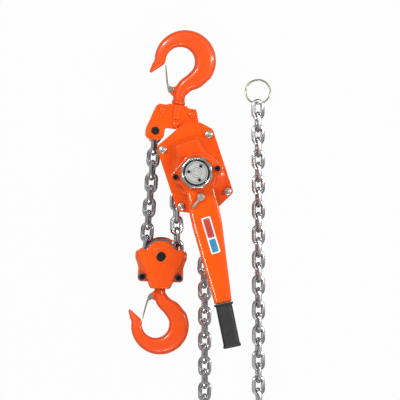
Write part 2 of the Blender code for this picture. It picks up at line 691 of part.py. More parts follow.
def change_gear(body, low, bore):
    flange_top = Z_BRAKE_COVER_TOP - BRAKE_COVER_WALL - GAP
    gear = turned("change_gear", "machined_steel",
                  [(bore, flange_top), (BRAKE_RADIUS, flange_top), (BRAKE_RADIUS, low),
                   (bore, low)], body)
    teeth, step = [], math.tau / CHANGE_GEAR_TEETH
    for k in range(CHANGE_GEAR_TEETH):
        for radius, share in ((CHANGE_GEAR_ROOT, -0.3), (CHANGE_GEAR_TIP, -0.15),
                              (CHANGE_GEAR_TIP, 0.15), (CHANGE_GEAR_ROOT, 0.3)):
            teeth.append(polar(radius, step * (k + share)))
    rim = flat("change_gear_teeth", None, teeth, flange_top - 1 * MM, Z_LEVER_FRONT + 2.5 * MM,
               body, [circle(bore, 20, phase=0.02)])
    join(gear, rim)


def lever(axis):
    """Two stamped trays held at the ears; the front one runs on as the arm."""
    pan = rounded(mirrored([PAN_END, *reversed(PAN_SIDE)], PAN_TOP))
    rear = flat("lever_rear_case", "orange_paint", pan, Z_LEVER, Z_LEVER + LEVER_REAR_DEPTH, axis)
    ears = [(side * LEVER_EAR, 0) for side in (-1, 1)]
    rear_inside = flat("lever_rear_inside", None, inset(pan, LEVER_WALL), Z_LEVER + LEVER_WALL,
                       Z_LEVER_FRONT + 1 * MM, axis)
    mouth = cylinder("lever_rear_mouth", None, CHANGE_GEAR_TIP + 1 * MM, Z_LEVER - 2 * MM,
                     Z_LEVER + 6 * MM, axis, steps=32)
    cut(rear, rear_inside, mouth)

    whole = rounded(mirrored([*reversed(ARM_SIDE), *reversed(PAN_SIDE)], PAN_TOP))
    arm_back = Z_LEVER + 4 * MM
    arm = flat("lever_arm", "orange_paint", whole, Z_LEVER_FRONT, Z_LEVER_TOP, axis)
    arm_only = rounded(mirrored([*reversed(ARM_SIDE[1:]), (32, -69, 2)]))
    arm_depth = flat("lever_arm_depth", None, arm_only, arm_back, Z_LEVER_TOP - 1 * MM, axis)
    inside = flat("lever_arm_inside", None, inset(whole, LEVER_WALL), arm_back - 1 * MM,
                  Z_LEVER_TOP - LEVER_WALL, axis)
    join(arm, arm_depth)
    cut(arm, inside)
    tang_low = Z_LEVER_TOP - LEVER_WALL - TANG_DEPTH
    tang = box("lever_tang", None, (-TANG_WIDTH / 2, GRIP_START - TANG_LENGTH, tang_low),
               (TANG_WIDTH / 2, GRIP_START + 16 * MM, Z_LEVER_TOP - 0.5 * MM), axis)
    wheel_hole = cylinder("lever_wheel_hole", None, WHEEL_HUB_RADIUS + 1 * MM,
                          Z_LEVER_TOP - 6 * MM, Z_LEVER_TOP + 2 * MM, axis, steps=24)
    spindle_hole = cylinder("lever_spindle_hole", None, SPINDLE_RADIUS + GAP,
                            Z_LEVER_TOP - 6 * MM, Z_LEVER_TOP + 2 * MM, axis, SELECTOR, 12)
    join(arm, tang)
    cut(arm, wheel_hole, spindle_hole)
    grip(axis, tang_low)
    for name, place in zip(("left", "right"), ears):
        boss = cylinder(f"lever_boss_{name}", None, 8 * MM, Z_LEVER + 1 * MM,
                        Z_LEVER + LEVER_REAR_DEPTH, axis, place, 12)
        front_boss = cylinder(f"lever_front_boss_{name}", None, 8 * MM, Z_LEVER_FRONT,
                              Z_LEVER_TOP - 1 * MM, axis, place, 12)
        hole = cylinder(f"lever_ear_hole_{name}", None, 3.3 * MM, Z_LEVER - 2 * MM,
                        Z_LEVER_TOP + 2 * MM, axis, place, 12)
        join(rear, boss)
        join(arm, front_boss)
        cut(rear, hole)
        cut(arm, hole)
        head = Z_LEVER_TOP + GAP
        profile = [(0, head + 3 * MM), (3 * MM, head + 3 * MM), (3 * MM, head + 6 * MM),
                   (6.2 * MM, head + 6 * MM), (6.6 * MM, head + 5.4 * MM), (6.6 * MM, head),
                   (3 * MM, head), (3 * MM, Z_LEVER + GAP), (0, Z_LEVER + GAP)]
        turned(f"lever_screw_{name}", "black_steel", profile, axis, 8, place)


def grip(axis, tang_low):
    """A sleeve over the tang, with a collar at its mouth and a slight flare at its end."""
    middle = tang_low + TANG_DEPTH / 2
    rings = []
    for along, grow in ((0, 3.5), (4, 3.5), (6, 0), (92, 0), (96, 1.5), (101, 1)):
        wide = GRIP_WIDTH / 2 / MM + grow
        deep = GRIP_DEPTH / 2 / MM + grow
        section = rounded([(-wide, -deep, 9), (wide, -deep, 9), (wide, deep, 9), (-wide, deep, 9)])
        y = GRIP_START - along / 101 * GRIP_LENGTH
        rings.append([(x, y, middle + z) for x, z in section])
    sleeve = loft("lever_grip", "black_rubber", rings, axis)
    play = 0.4 * MM
    pocket = box("grip_pocket", None,
                 (-TANG_WIDTH / 2 - play, GRIP_START - TANG_LENGTH - play, tang_low - play),
                 (TANG_WIDTH / 2 + play, GRIP_START + 5 * MM, Z_LEVER_TOP + play), axis)
    cut(sleeve, pocket)


def selector(lever_axis):
    """The knob, its finger and the two-toed drive pawl on one spindle."""
    axis = frame_empty("selector_axis", (*SELECTOR, 0), (0, 0, -SELECTOR_SIDE), lever_axis)
    seat = Z_LEVER_TOP + GAP
    knob = turned("selector_knob", "zinc",
                  [(0, seat + 6 * MM), (7 * MM, seat + 6 * MM), (8 * MM, seat + 5 * MM),
                   (8 * MM, seat), (SPINDLE_RADIUS, seat), (SPINDLE_RADIUS, seat - 12 * MM),
                   (0, seat - 12 * MM)], axis, 16)
    finger = flat("selector_finger", None,
                  rounded([(-4, -31, 3.5), (4, -31, 3.5), (4, 0, 1), (-4, 0, 1)]),
                  seat + 1.5 * MM, seat + 4.5 * MM, axis)
    join(knob, finger)
    reach = TOE_REACH / MM
    lean = math.degrees(SELECTOR_SIDE)
    toes = []
    for angle, radius, corner in (
        (-120, 9, 5), (-60, 9, 5), (90 - lean - 24, 9, 3), (90 - lean - 6, reach - 1, 0.5),
        (90 - lean + 6, reach - 1, 0.5), (90 - lean + 22, 14, 3), (90 + lean - 22, 14, 3),
        (90 + lean - 6, reach - 1, 0.5), (90 + lean + 6, reach - 1, 0.5), (90 + lean + 24, 9, 3),
    ):
        toes.append((*polar(radius, math.radians(angle)), corner))
    low = seat - 11 * MM
    flat("drive_pawl", "machined_steel", rounded(toes), low - 7 * MM, low - GAP, axis,
         [circle(SPINDLE_RADIUS + GAP, 12)])
    stub = cylinder("selector_stub", None, SPINDLE_RADIUS, low - 7 * MM, seat - 6 * MM, axis,
                    steps=12)
    join(knob, stub)


def hand_wheel(axis):
    lobe = 360 / WHEEL_LOBES
    corners = [(*polar(WHEEL_RADIUS / MM, math.radians(lobe * (k + 0.5))), 9)
               for k in range(WHEEL_LOBES)]
    rim = rounded(corners)
    rings = [level(inset(rim, 2 * MM), Z_WHEEL), level(rim, Z_WHEEL + 2 * MM),
             level(rim, Z_WHEEL_TOP - 2 * MM), level(inset(rim, 2 * MM), Z_WHEEL_TOP)]
    wheel = loft("hand_wheel", "chrome", rings, axis)
    hub_low = Z_LEVER_FRONT + 3 * MM
    hub = cylinder("wheel_hub", None, WHEEL_HUB_RADIUS, hub_low, Z_WHEEL + 2 * MM, axis, steps=24)
    bore = cylinder("wheel_bore", None, SHAFT_RADIUS + GAP, hub_low - 2 * MM,
                    Z_WHEEL + 6 * MM + GAP, axis, steps=20)
    cup = cylinder("wheel_cup", None, CUP_RADIUS, Z_WHEEL_TOP - CUP_DEPTH, Z_WHEEL_TOP + 2 * MM,
                   axis, steps=24)
    join(wheel, hub)
    cut(wheel, bore, cup)
    seat = Z_WHEEL_TOP - CUP_DEPTH + GAP
    profile = [(0, seat + 3 * MM), (25 * MM, seat + 3 * MM), (26 * MM, seat + 2 * MM),
               (26 * MM, seat), (0, seat)]
    turned("wheel_disc", "chrome", profile, axis, 24)


def yoke(axis):
    """In the hook's frame the chain's plane is z = 0."""
    outline = rounded(YOKE_OUTLINE)
    holes = [circle(RIVET_RADIUS + GAP, 8, *scaled([place])[0]) for place in YOKE_RIVETS]
    holes.append(circle(YOKE_PIN_RADIUS + GAP, 16, *YOKE_PIN))
    holes.append(circle(ANCHOR_PIN_RADIUS + GAP, 16, *ANCHOR_PIN))
    for name, side in (("front", 1), ("back", -1)):
        low, high = sorted((side * YOKE_INNER_HALF, side * (YOKE_INNER_HALF + YOKE_PLATE)))
        plate = flat(f"yoke_plate_{name}", "orange_paint", outline, low, high, axis, holes)
        bulge = along_y(cylinder(f"yoke_bulge_{name}", None, 12.5 * MM, -38 * MM, -5.5 * MM, axis))
        bulge.location = (0, 0, side * (YOKE_INNER_HALF - 3 * MM))
        trim = box(f"yoke_trim_{name}", None, (-20 * MM, -45 * MM, -YOKE_INNER_HALF),
                   (20 * MM, 0, YOKE_INNER_HALF), axis)
        join(plate, bulge)
        cut(plate, trim)
    half = YOKE_INNER_HALF - GAP
    wide, tall = SOCKET_SIZE
    socket = box("hook_socket", "orange_paint", (-wide / 2, SOCKET_TOP - tall, -half),
                 (wide / 2, SOCKET_TOP, half), axis)
    bore = along_y(cylinder("socket_bore", None, (SHANK_RADIUS + 0.4) * MM, -45 * MM, 5 * MM, axis,
                            steps=24))
    cut(socket, bore)
    for i, place in enumerate(scaled(YOKE_RIVETS[:2])):
        hole = cylinder(f"socket_rivet_hole_{i}", None, RIVET_RADIUS + GAP, -2 * half, 2 * half,
                        axis, place, 8)
        cut(socket, hole)
    outer = YOKE_INNER_HALF + YOKE_PLATE + GAP
    for i, place in enumerate(scaled(YOKE_RIVETS), 1):
        head, crown = RIVET_RADIUS + 3 * MM, outer + 2.6 * MM
        rivet = [(0, crown), (RIVET_RADIUS, crown - 0.6 * MM), (head, outer),
                 (RIVET_RADIUS, outer), (RIVET_RADIUS, -outer), (head, -outer),
                 (RIVET_RADIUS, -crown + 0.6 * MM), (0, -crown)]
        turned(f"yoke_rivet_{i}", "orange_paint", rivet, axis, 8, place)
    reach = PLATE_GAP_HALF + SIDE_PLATE - GAP
    cylinder("yoke_pin", "machined_steel", YOKE_PIN_RADIUS, -reach, reach, axis, YOKE_PIN)
    reach = outer + 2 * MM
    cylinder("chain_anchor_pin", "black_steel", ANCHOR_PIN_RADIUS, -reach, reach, axis,
             ANCHOR_PIN, 20)


def hook_section(inner, outer, thickness, size):
    """One section of the hook, flatter outside and rounder at the load's side."""
    inner, outer = Vector(inner), Vector(outer)
    found = []
    shape = ((0, 0.26), (0.12, 0.45), (0.45, 0.5), (0.86, 0.4), (1, 0.18))
    for share, half in shape + tuple((s, -h) for s, h in reversed(shape)):
        point = inner.lerp(outer, share) * size
        found.append((point.x * MM, point.y * MM, thickness * half * size * MM))
    return found


def hook(name, size, seat, axis):
    """A forged swivel hook with its latch. seat is the length from the collar to the head."""
    rings = [hook_section(*station, size) for station in HOOK_NECK]
    for angle, thickness in zip(BOWL_ANGLES, BOWL_THICKNESS):
        turn = math.radians(angle)
        inner = Vector(BOWL[:2]) + Vector(polar(BOWL[2], turn))
        outer = Vector(BACK[:2]) + Vector(polar(BACK[2], turn))
        rings.append(hook_section(inner, outer, thickness, size))
    rings += [hook_section(*station, size) for station in HOOK_TIP]
    body = loft(name, "orange_paint", rings, axis)

    unit = size * MM
    shank, collar, head = SHANK_RADIUS * unit, COLLAR_RADIUS * unit, HEAD_RADIUS * unit
    low = seat + HEAD_HEIGHT * unit
    profile = [(0, 3 * unit), (shank - 1 * unit, 3 * unit), (collar, 0.5 * unit),
               (collar, -4 * unit), (shank, -5 * unit), (shank, -seat), (head, -seat),
               (head, -low), (0, -low)]
    stem = turned(f"{name}_stem", None, profile, axis, 20)
    stem.rotation_euler = (math.radians(-90), 0, 0)
    join(body, stem)
    lug = flat(f"{name}_lug", None, [(x * size, y * size) for x, y in rounded(LATCH_LUG)],
               -LUG_HALF * unit, LUG_HALF * unit, axis)
    pivot = (LATCH_PIVOT[0] * unit, LATCH_PIVOT[1] * unit)
    pin = LATCH_PIN_RADIUS * unit
    pin_hole = cylinder(f"{name}_pin_hole", None, pin + GAP, -30 * MM, 30 * MM, axis, pivot, 12)
    join(body, lug)
    cut(body, pin_hole)
    latch(name.replace("hook", "latch"), unit, pivot, pin, axis)


def latch(name, unit, pivot, pin, hook_axis):
    """A folded plate: its tongue closes the throat, its two ears hold the pin."""
    axis = frame_empty(f"{name}_axis", (*pivot, 0), (0, 0, LATCH_LEAN), hook_axis)
    inner, outer = (LUG_HALF + 0.5) * unit, (LUG_HALF + 2.5) * unit
    tongue = flat(name, "zinc", [(x * unit / MM, y * unit / MM) for x, y in rounded(
        [(-9, -4, 1), (9, -4, 1), (9, 12, 5), (11, 22, 6), (8, 57, 4), (-8, 57, 4), (-11, 22, 6),
         (-9, 12, 5)])], 5.5 * unit, 8 * unit, axis)
    tongue.data.transform(Matrix.Rotation(math.radians(-90), 4, "Y"))
    for side in (-1, 1):
        low, high = sorted((side * inner, side * outer))
        ear = flat(f"{name}_ear_{side + 1}", None, [(x * unit / MM, y * unit / MM) for x, y in
                   rounded([(-7, -5, 1), (5.5, -5, 4.5), (5.5, 5, 4.5), (-7, 12, 1)])],
                   low, high, axis, [circle(pin + GAP, 12)])
        join(tongue, ear)
    cylinder(f"{name}_pin", "zinc", pin, -outer - 1.5 * unit, outer + 1.5 * unit, hook_axis,
             pivot, 12)


def block(axis, hook_axis):
    """Two shells, bolted at the lugs, round the idler sheave and the hook's head."""
    unit = BOTTOM_HOOK_SCALE * MM
    for name, side, arch in (("front", 1, FRONT_ARCH), ("rear", -1, REAR_ARCH)):
        outline = rounded(mirrored(BLOCK_LOWER, arch))
        rings = [level(outline, side * GAP / 2), level(outline, side * (BLOCK_HALF - 10 * MM)),
                 level(inset(outline, BLOCK_SLOPE), side * BLOCK_HALF)]
        shell = loft(f"block_{name}_shell", "orange_paint", rings, axis)
        low, high = sorted((-side * 1 * MM, side * (BLOCK_HALF - BLOCK_FACE)))
        cavity = cylinder(f"block_{name}_cavity", None, BLOCK_CAVITY, low, high, axis, steps=32)
        wide = BLOCK_CAVITY - 0.3 * MM
        mouth = box(f"block_{name}_mouth", None, (-wide, -2 * MM, low), (wide, 60 * MM, high),
                    axis)
        axle_hole = cylinder(f"block_{name}_axle_hole", None, BLOCK_AXLE_RADIUS + GAP, -60 * MM,
                             60 * MM, axis, steps=20)
        cut(shell, cavity, mouth, axle_hole)
        for hand in (-1, 1):
            place = (hand * BLOCK_BOLT[0], BLOCK_BOLT[1])
            low, high = sorted((side * BLOCK_BOLT_RECESS, side * (BLOCK_HALF + 2 * MM)))
            recess = cylinder(f"block_{name}_recess_{hand + 1}", None, 12 * MM, low, high, axis,
                              place)
            hole = cylinder(f"block_{name}_bolt_hole_{hand + 1}", None, BLOCK_BOLT_RADIUS + GAP,
                            -60 * MM, 60 * MM, axis, place, 8)
            cut(shell, recess, hole)
        bore = along_y(cylinder(f"block_{name}_hook_bore", None, (SHANK_RADIUS + 0.5) * unit,
                                -12 * MM, 12 * MM, hook_axis, steps=24))
        pocket_low = block_seat() - GAP
        pocket = along_y(cylinder(f"block_{name}_pocket", None, HEAD_RADIUS * unit + GAP,
                                  -30 * MM, -pocket_low, hook_axis, steps=24))
        collar = along_y(cylinder(f"block_{name}_collar_room", None, COLLAR_RADIUS * unit + GAP,
                                  -4.5 * MM, 12 * MM, hook_axis, steps=24))
        cut(shell, bore, pocket, collar)

    half = BLOCK_CAVITY - IDLER_PITCH_RADIUS
    flange = IDLER_PITCH_RADIUS + FLANGE_OVER
    groove = chain_groove(IDLER_PITCH_RADIUS, 0)
    bore = BLOCK_AXLE_RADIUS + GAP
    profile = [(bore, half + 2 * MM), (flange, half + 2 * MM), *groove, (flange, -half - 2 * MM),
               (bore, -half - 2 * MM)]
    turned("idler_sheave", "machined_steel", profile, axis, 20)
    cylinder("block_axle", "black_steel", BLOCK_AXLE_RADIUS, -BLOCK_HALF + 0.5 * MM,
             BLOCK_HALF + 0.8 * MM, axis, steps=20)
    for hand, name in ((-1, "left"), (1, "right")):
        seat, head = BLOCK_BOLT_RECESS + GAP, 7.5 * MM
        profile = [(0, seat + 5 * MM), (3.2 * MM, seat + 5 * MM), (3.2 * MM, seat + 9.5 * MM),
                   (7.2 * MM, seat + 9.5 * MM), (head, seat + 9 * MM), (head, seat),
                   (BLOCK_BOLT_RADIUS, seat), (BLOCK_BOLT_RADIUS, -seat), (head, -seat),
                   (head, -seat - 7 * MM), (0, -seat - 7 * MM)]
        turned(f"block_bolt_{name}", "black_steel", profile, axis, 8,
               (hand * BLOCK_BOLT[0], BLOCK_BOLT[1]))


def block_seat():
    """From the bottom hook's collar up to its head, which stays clear of the chain."""
    room = BOTTOM_HOOK_DROP - BLOCK_CAVITY
    return room - HEAD_HEIGHT * BOTTOM_HOOK_SCALE * MM - 0.7 * MM


def load_chain():
    """The held chain: dead fall, the wrap round the idler, live fall over the load sheave."""
    radius = CHAIN_WIDTH / 2
    anchor = in_plane((YOKE_COLLAR, YOKE_TILT), ANCHOR_PIN)
    left = (BLOCK_AXLE[0] - IDLER_PITCH_RADIUS, BLOCK_AXLE[1], BLOCK_HALF)
    right = (BLOCK_AXLE[0] + IDLER_PITCH_RADIUS, BLOCK_AXLE[1], BLOCK_HALF)
    start = Vector((*anchor, Z_CHAIN))
    end = Vector(left)
    level_end = start.lerp(end, 1 - FALL_LEVEL / (start.y - end.y))
    level_end.z = end.z
    up = Vector((0, 1, 0))
    along = (level_end - start).normalized()
    tube("chain_dead_fall", "chain_steel",
         [start + along * (ANCHOR_PIN_RADIUS + 2 * MM), level_end, end + up * 2.8 * MM], radius)
    wrap = [Vector((*polar(IDLER_PITCH_RADIUS, math.pi + math.pi * k / 12), BLOCK_HALF))
            + Vector((*BLOCK_AXLE, 0)) for k in range(13)]
    wrap = [wrap[0] + up * 1 * MM, *wrap, wrap[-1] + up * 1 * MM]
    tube("chain_idler_wrap", "chain_steel", wrap, radius)
    lift = Vector((HUB[0] - SHEAVE_PITCH_RADIUS, HUB[1], Z_CHAIN))
    foot = Vector(right)
    over = [Vector((lift.x, HUB[1] - 24 * MM, Z_CHAIN))]
    over.insert(0, Vector((lift.x, HUB[1] - FALL_LEAVES_PLATES, Z_CHAIN - 6.8 * MM)))
    over.insert(0, foot.lerp(lift, FALL_LEVEL / (lift.y - foot.y)))
    over[0].z = foot.z
    for k in range(15):
        angle = math.pi + (SLACK_EXIT_ANGLE - math.pi) * k / 14
        over.append(Vector((*polar(SHEAVE_PITCH_RADIUS, angle), Z_CHAIN)) + Vector((*HUB, 0)))
    leave = Vector((math.sin(SLACK_EXIT_ANGLE), -math.cos(SLACK_EXIT_ANGLE), 0))
    out = over[-1] + leave * 84 * MM
    tube("chain_live_fall", "chain_steel", [foot + up * 1.8 * MM, *over, out], radius)
    route = smooth_route([out + leave * 8 * MM, *scaled(SLACK_ROUTE)], CHAIN_STEP)
    tube("chain_slack", "chain_steel", [out + leave * 1 * MM, *route], radius)


def end_ring():
    """One side lies in the last link, the other on the floor."""
    high, low = 16 * MM, RING_WIRE + 0.2 * MM
    tilt = math.asin((high - low) / (2 * RING_RADIUS))
    profile = [(RING_RADIUS + x, z) for x, z in reversed(circle(RING_WIRE, 6, phase=0.2))]
    ring = turned("chain_end_ring", "zinc", profile, None, 24)
    ring.location = (*RING_CENTRE, (high + low) / 2)
    ring.rotation_euler = (-tilt, 0, 0)


def build():
    body = frame_empty("body_axis", (*HUB, 0), (0, 0, BODY_TILT))
    gear_cover(body)
    side_plates(body)
    stays_and_bearings(body)
    brake_cover(body)
    cover_studs(body)
    load_sheave(body)
    gear_train(body)
    brake(body)
    lever_axis = frame_empty("lever_axis", (*HUB, 0), (0, 0, LEVER_TILT))
    lever(lever_axis)
    selector(lever_axis)
    hand_wheel(frame_empty("hand_wheel_axis", (*HUB, 0)))
    yoke_axis = frame_empty("top_hook_axis", (*YOKE_COLLAR, Z_CHAIN), (0, 0, YOKE_TILT))
    yoke(yoke_axis)
    hook("top_hook", 1.0, -SOCKET_TOP + SOCKET_SIZE[1] + GAP, yoke_axis)
    block_axis = frame_empty("block_axis", (*BLOCK_AXLE, BLOCK_HALF), (0, 0, BLOCK_TILT))
    collar = in_plane((BLOCK_AXLE, BLOCK_TILT), (0, -BOTTOM_HOOK_DROP))
    hook_axis = frame_empty("bottom_hook_axis", (*collar, BLOCK_HALF), (math.pi, 0, 0))
    block(block_axis, hook_axis)
    hook("bottom_hook", BOTTOM_HOOK_SCALE, block_seat(), hook_axis)
    load_chain()
    end_ring()


clear_scene()
PARTS = collection("lever_chain_hoist")
CUTTERS = collection("cutters")
build()
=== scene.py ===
"""The looks of a lever chain hoist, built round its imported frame.

Each sub-assembly is modelled in millimetres in a frame of its own, and that frame's matrix sets
it in place in metres. Outlines are lists of corners (x, y, radius), listed anticlockwise.
"""

import json
import math

import bmesh
import bpy
from mathutils import Matrix, Vector

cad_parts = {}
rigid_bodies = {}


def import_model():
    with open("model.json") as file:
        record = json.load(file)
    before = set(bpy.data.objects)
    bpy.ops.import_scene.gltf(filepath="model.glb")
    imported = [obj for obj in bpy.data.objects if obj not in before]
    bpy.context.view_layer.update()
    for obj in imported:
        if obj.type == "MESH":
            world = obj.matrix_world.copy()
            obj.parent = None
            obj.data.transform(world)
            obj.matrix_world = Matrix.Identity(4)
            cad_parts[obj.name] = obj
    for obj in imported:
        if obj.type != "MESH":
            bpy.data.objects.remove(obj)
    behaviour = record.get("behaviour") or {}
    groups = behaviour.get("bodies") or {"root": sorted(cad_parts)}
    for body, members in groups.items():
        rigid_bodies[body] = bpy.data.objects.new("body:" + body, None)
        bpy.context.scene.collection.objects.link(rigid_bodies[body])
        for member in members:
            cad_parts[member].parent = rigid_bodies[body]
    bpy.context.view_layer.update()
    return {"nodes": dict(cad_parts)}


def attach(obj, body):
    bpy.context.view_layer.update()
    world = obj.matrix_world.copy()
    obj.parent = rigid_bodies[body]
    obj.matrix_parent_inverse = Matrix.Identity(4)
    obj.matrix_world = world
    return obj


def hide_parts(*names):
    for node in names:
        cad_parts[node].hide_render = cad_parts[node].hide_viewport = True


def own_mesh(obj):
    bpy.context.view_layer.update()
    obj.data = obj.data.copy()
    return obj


for old in list(bpy.data.objects):
    bpy.data.objects.remove(old, do_unlink=True)
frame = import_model()


def turned(degrees, axis="Z"):
    return Matrix.Rotation(math.radians(degrees), 4, axis)


def placed(x, y, z, degrees, flip=False, size=1.0):
    over = Matrix.Rotation(math.pi if flip else 0, 4, "X")
    metres = Matrix.Scale(0.001 * size, 4)
    return Matrix.Translation((x / 1000, y / 1000, z / 1000)) @ turned(degrees) @ over @ metres


HUB = (26.3, 43.4)
BODY = placed(*HUB, 0, 18.2)
LEVER = placed(*HUB, 0, 11.6)
WHEEL = placed(*HUB, 0, 0)
Z_CHAIN = 63.1
YOKE = placed(-14.4, 201.6, Z_CHAIN, -9.4)
AXLE = (-53.6, -145.4)
BLOCK = placed(*AXLE, 38, -2)
COLLAR = (-55.9, -211.36)
LOW_HOOK = placed(*COLLAR, 38, 0, flip=True, size=0.94)
FLOOR = placed(0, 0, 0, 0)


# Materials


def node_material(name):
    material = bpy.data.materials.new(name)
    material.use_nodes = True
    nodes = material.node_tree.nodes
    return material, nodes, material.node_tree.links, nodes["Principled BSDF"]


def noise_of(nodes, links, scale, detail):
    where = nodes.new("ShaderNodeTexCoord").outputs["Object"]
    texture = nodes.new("ShaderNodeTexNoise")
    texture.inputs["Scale"].default_value = scale
    texture.inputs["Detail"].default_value = detail
    links.new(where, texture.inputs["Vector"])
    return texture.outputs["Fac"]


def ramp(nodes, links, value, low, high):
    made = nodes.new("ShaderNodeValToRGB")
    made.color_ramp.elements[0].position = 0.3
    made.color_ramp.elements[1].position = 0.7
    made.color_ramp.elements[0].color = low if len(low) == 4 else (*low, 1)
    made.color_ramp.elements[1].color = high if len(high) == 4 else (*high, 1)
    links.new(value, made.inputs["Fac"])
    return made.outputs["Color"]


def grey(value):
    return (value, value, value, 1)


def bump(nodes, links, shader, value, strength, distance):
    made = nodes.new("ShaderNodeBump")
    made.inputs["Strength"].default_value = strength
    made.inputs["Distance"].default_value = distance
    links.new(value, made.inputs["Height"])
    links.new(made.outputs["Normal"], shader.inputs["Normal"])


def surface(name, low, high, metal, rough, patch, grain, depth, coat=0.0):
    """Two tones in soft patches, a roughness that varies with them, and a fine grain in bump."""
    material, nodes, links, shader = node_material(name)
    patches = noise_of(nodes, links, patch, 4)
    links.new(ramp(nodes, links, patches, low, high), shader.inputs["Base Color"])
    spread = ramp(nodes, links, patches, grey(rough[1]), grey(rough[0]))
    links.new(spread, shader.inputs["Roughness"])
    shader.inputs["Metallic"].default_value = metal
    shader.inputs["Specular IOR Level"].default_value = 0.35
    shader.inputs["Coat Weight"].default_value = coat
    shader.inputs["Coat Roughness"].default_value = 0.06
    bump(nodes, links, shader, noise_of(nodes, links, grain, 2), 0.5, depth)
    return material


LOOKS = {
    "paint": surface("orange_gloss", (0.90, 0.084, 0.0005), (0.95, 0.104, 0.001), 0, (0.12, 0.20),
                     35, 900, 0.00005, 0.35),
    "forged": surface("orange_on_forging", (0.86, 0.072, 0.001), (0.93, 0.090, 0.003), 0,
                      (0.24, 0.40), 45, 420, 0.00016, 0.4),
    # Painted shade: the orange paint made darker and duller for the hook seat, which lies in shade
    # between the yoke plates.
    "shade": surface("orange_painted_shade", (0.74, 0.05, 0.003), (0.86, 0.08, 0.004), 0,
                     (0.3, 0.42), 40, 600, 0.0001, 0.2),
    "chrome": surface("chrome_plate", (0.52, 0.52, 0.53), (0.62, 0.62, 0.62), 1, (0.14, 0.24),
                      60, 1500, 0.00001),
    "disc": surface("turned_disc", (0.62, 0.62, 0.62), (0.74, 0.74, 0.73), 0.45, (0.25, 0.38), 90,
                    2000, 0.00002),
    "zinc": surface("yellow_zinc", (0.60, 0.55, 0.42), (0.72, 0.72, 0.68), 1, (0.22, 0.36), 160,
                    1300, 0.00004),
    "olive": surface("olive_zinc", (0.36, 0.37, 0.24), (0.60, 0.60, 0.46), 1, (0.25, 0.4), 120,
                     1200, 0.00004),
    "chain": surface("bright_chain", (0.50, 0.50, 0.51), (0.66, 0.66, 0.67), 1, (0.20, 0.34), 130,
                     900, 0.00006),
    "steel": surface("oiled_steel", (0.30, 0.29, 0.28), (0.46, 0.45, 0.44), 1, (0.3, 0.45), 80,
                     1200, 0.00004),
    "grey": surface("grey_zinc", (0.40, 0.40, 0.39), (0.50, 0.50, 0.49), 0.7, (0.35, 0.48), 90,
                    1500, 0.00005),
    "bronze": surface("bronze_tip", (0.42, 0.30, 0.18), (0.55, 0.42, 0.28), 0.9, (0.35, 0.5), 90,
                      1500, 0.00005),
    "black": surface("black_oxide", (0.012, 0.012, 0.013), (0.03, 0.03, 0.032), 0.5,
                     (0.32, 0.46), 100, 1500, 0.00004),
    "lining": surface("brake_lining", (0.14, 0.10, 0.07), (0.24, 0.19, 0.14), 0, (0.8, 0.92),
                      300, 1500, 0.0001),
    "rubber": surface("black_rubber", (0.020, 0.020, 0.021), (0.036, 0.036, 0.038), 0,
                      (0.42, 0.62), 120, 1400, 0.00008),
    "white": surface("label_white", (0.80, 0.80, 0.79), (0.86, 0.86, 0.85), 0, (0.2, 0.3), 60,
                     700, 0.00002, 0.3),
    "red": surface("label_red", (0.50, 0.045, 0.04), (0.60, 0.07, 0.05), 0, (0.2, 0.3), 60, 700,
                   0.00002, 0.3),
    "blue": surface("label_blue", (0.03, 0.22, 0.42), (0.05, 0.30, 0.50), 0, (0.2, 0.3), 60, 700,
                    0.00002, 0.3),
}


# Shapes


def loft(rings, closed=False):
    """A body through rings of equally many points. If closed, the last ring joins the first."""
    shape = bmesh.new()
    rows = [[shape.verts.new(point) for point in ring] for ring in rings]
    count = len(rows[0])
    for low, high in zip(rows, rows[1:] + ([rows[0]] if closed else [])):
        for i in range(count):
            j = (i + 1) % count
            shape.faces.new((low[i], low[j], high[j], high[i]))
    if not closed:
        shape.faces.new(list(reversed(rows[0])))
        shape.faces.new(rows[-1])
    return shape


def offset(corners, distance):
    """The corners moved outwards, with radii to match."""
    found = []
    for i, (x, y, radius) in enumerate(corners):
        here = Vector((x, y))
        before = (here - Vector(corners[i - 1][:2])).normalized()
        after = (Vector(corners[(i + 1) % len(corners)][:2]) - here).normalized()
        first, second = Vector((before.y, -before.x)), Vector((after.y, -after.x))
        moved = here + (first + second) * (distance / (1 + first.dot(second)))
        convex = before.x * after.y - before.y * after.x > 0
        found.append((moved.x, moved.y, max(0.3, radius + (distance if convex else -distance))))
    return found


def outline(corners, steps=6):
    """Points round the outline, with its corners rounded."""
    found = []
    for i, (x, y, radius) in enumerate(corners):
        here = Vector((x, y))
        before = Vector(corners[i - 1][:2]) - here
        after = Vector(corners[(i + 1) % len(corners)][:2]) - here
        half = max(1e-4, before.angle(after) / 2)
        tangent = min(radius / math.tan(half), 0.49 * before.length, 0.49 * after.length)
        radius = tangent * math.tan(half)
        middle = (before.normalized() + after.normalized()).normalized()
        centre = here + middle * (radius / math.sin(half))
        start = here + before.normalized() * tangent - centre
        turn = start.angle_signed(here + after.normalized() * tangent - centre)
        for k in range(steps + 1):
            point = centre + Matrix.Rotation(-turn * k / steps, 2) @ start
            found.append((point.x, point.y))
    return found


def mirrored(side, *middle):
    """A whole outline from its right side, given from below upwards."""
    right = list(side) + list(middle)
    return right + [(-x, y, r) for x, y, r in reversed(right)]


def curve_through(a, b, c, d, t):
    """The smooth curve from b to c, with a before and d after them."""
    return 0.5 * ((2 * b) + (c - a) * t + (2 * a - 5 * b + 4 * c - d) * t**2
                  + (3 * b - a - 3 * c + d) * t**3)


def between(first, second, share):
    return [tuple(a + (b - a) * share for a, b in zip(p, q)) for p, q in zip(first, second)]


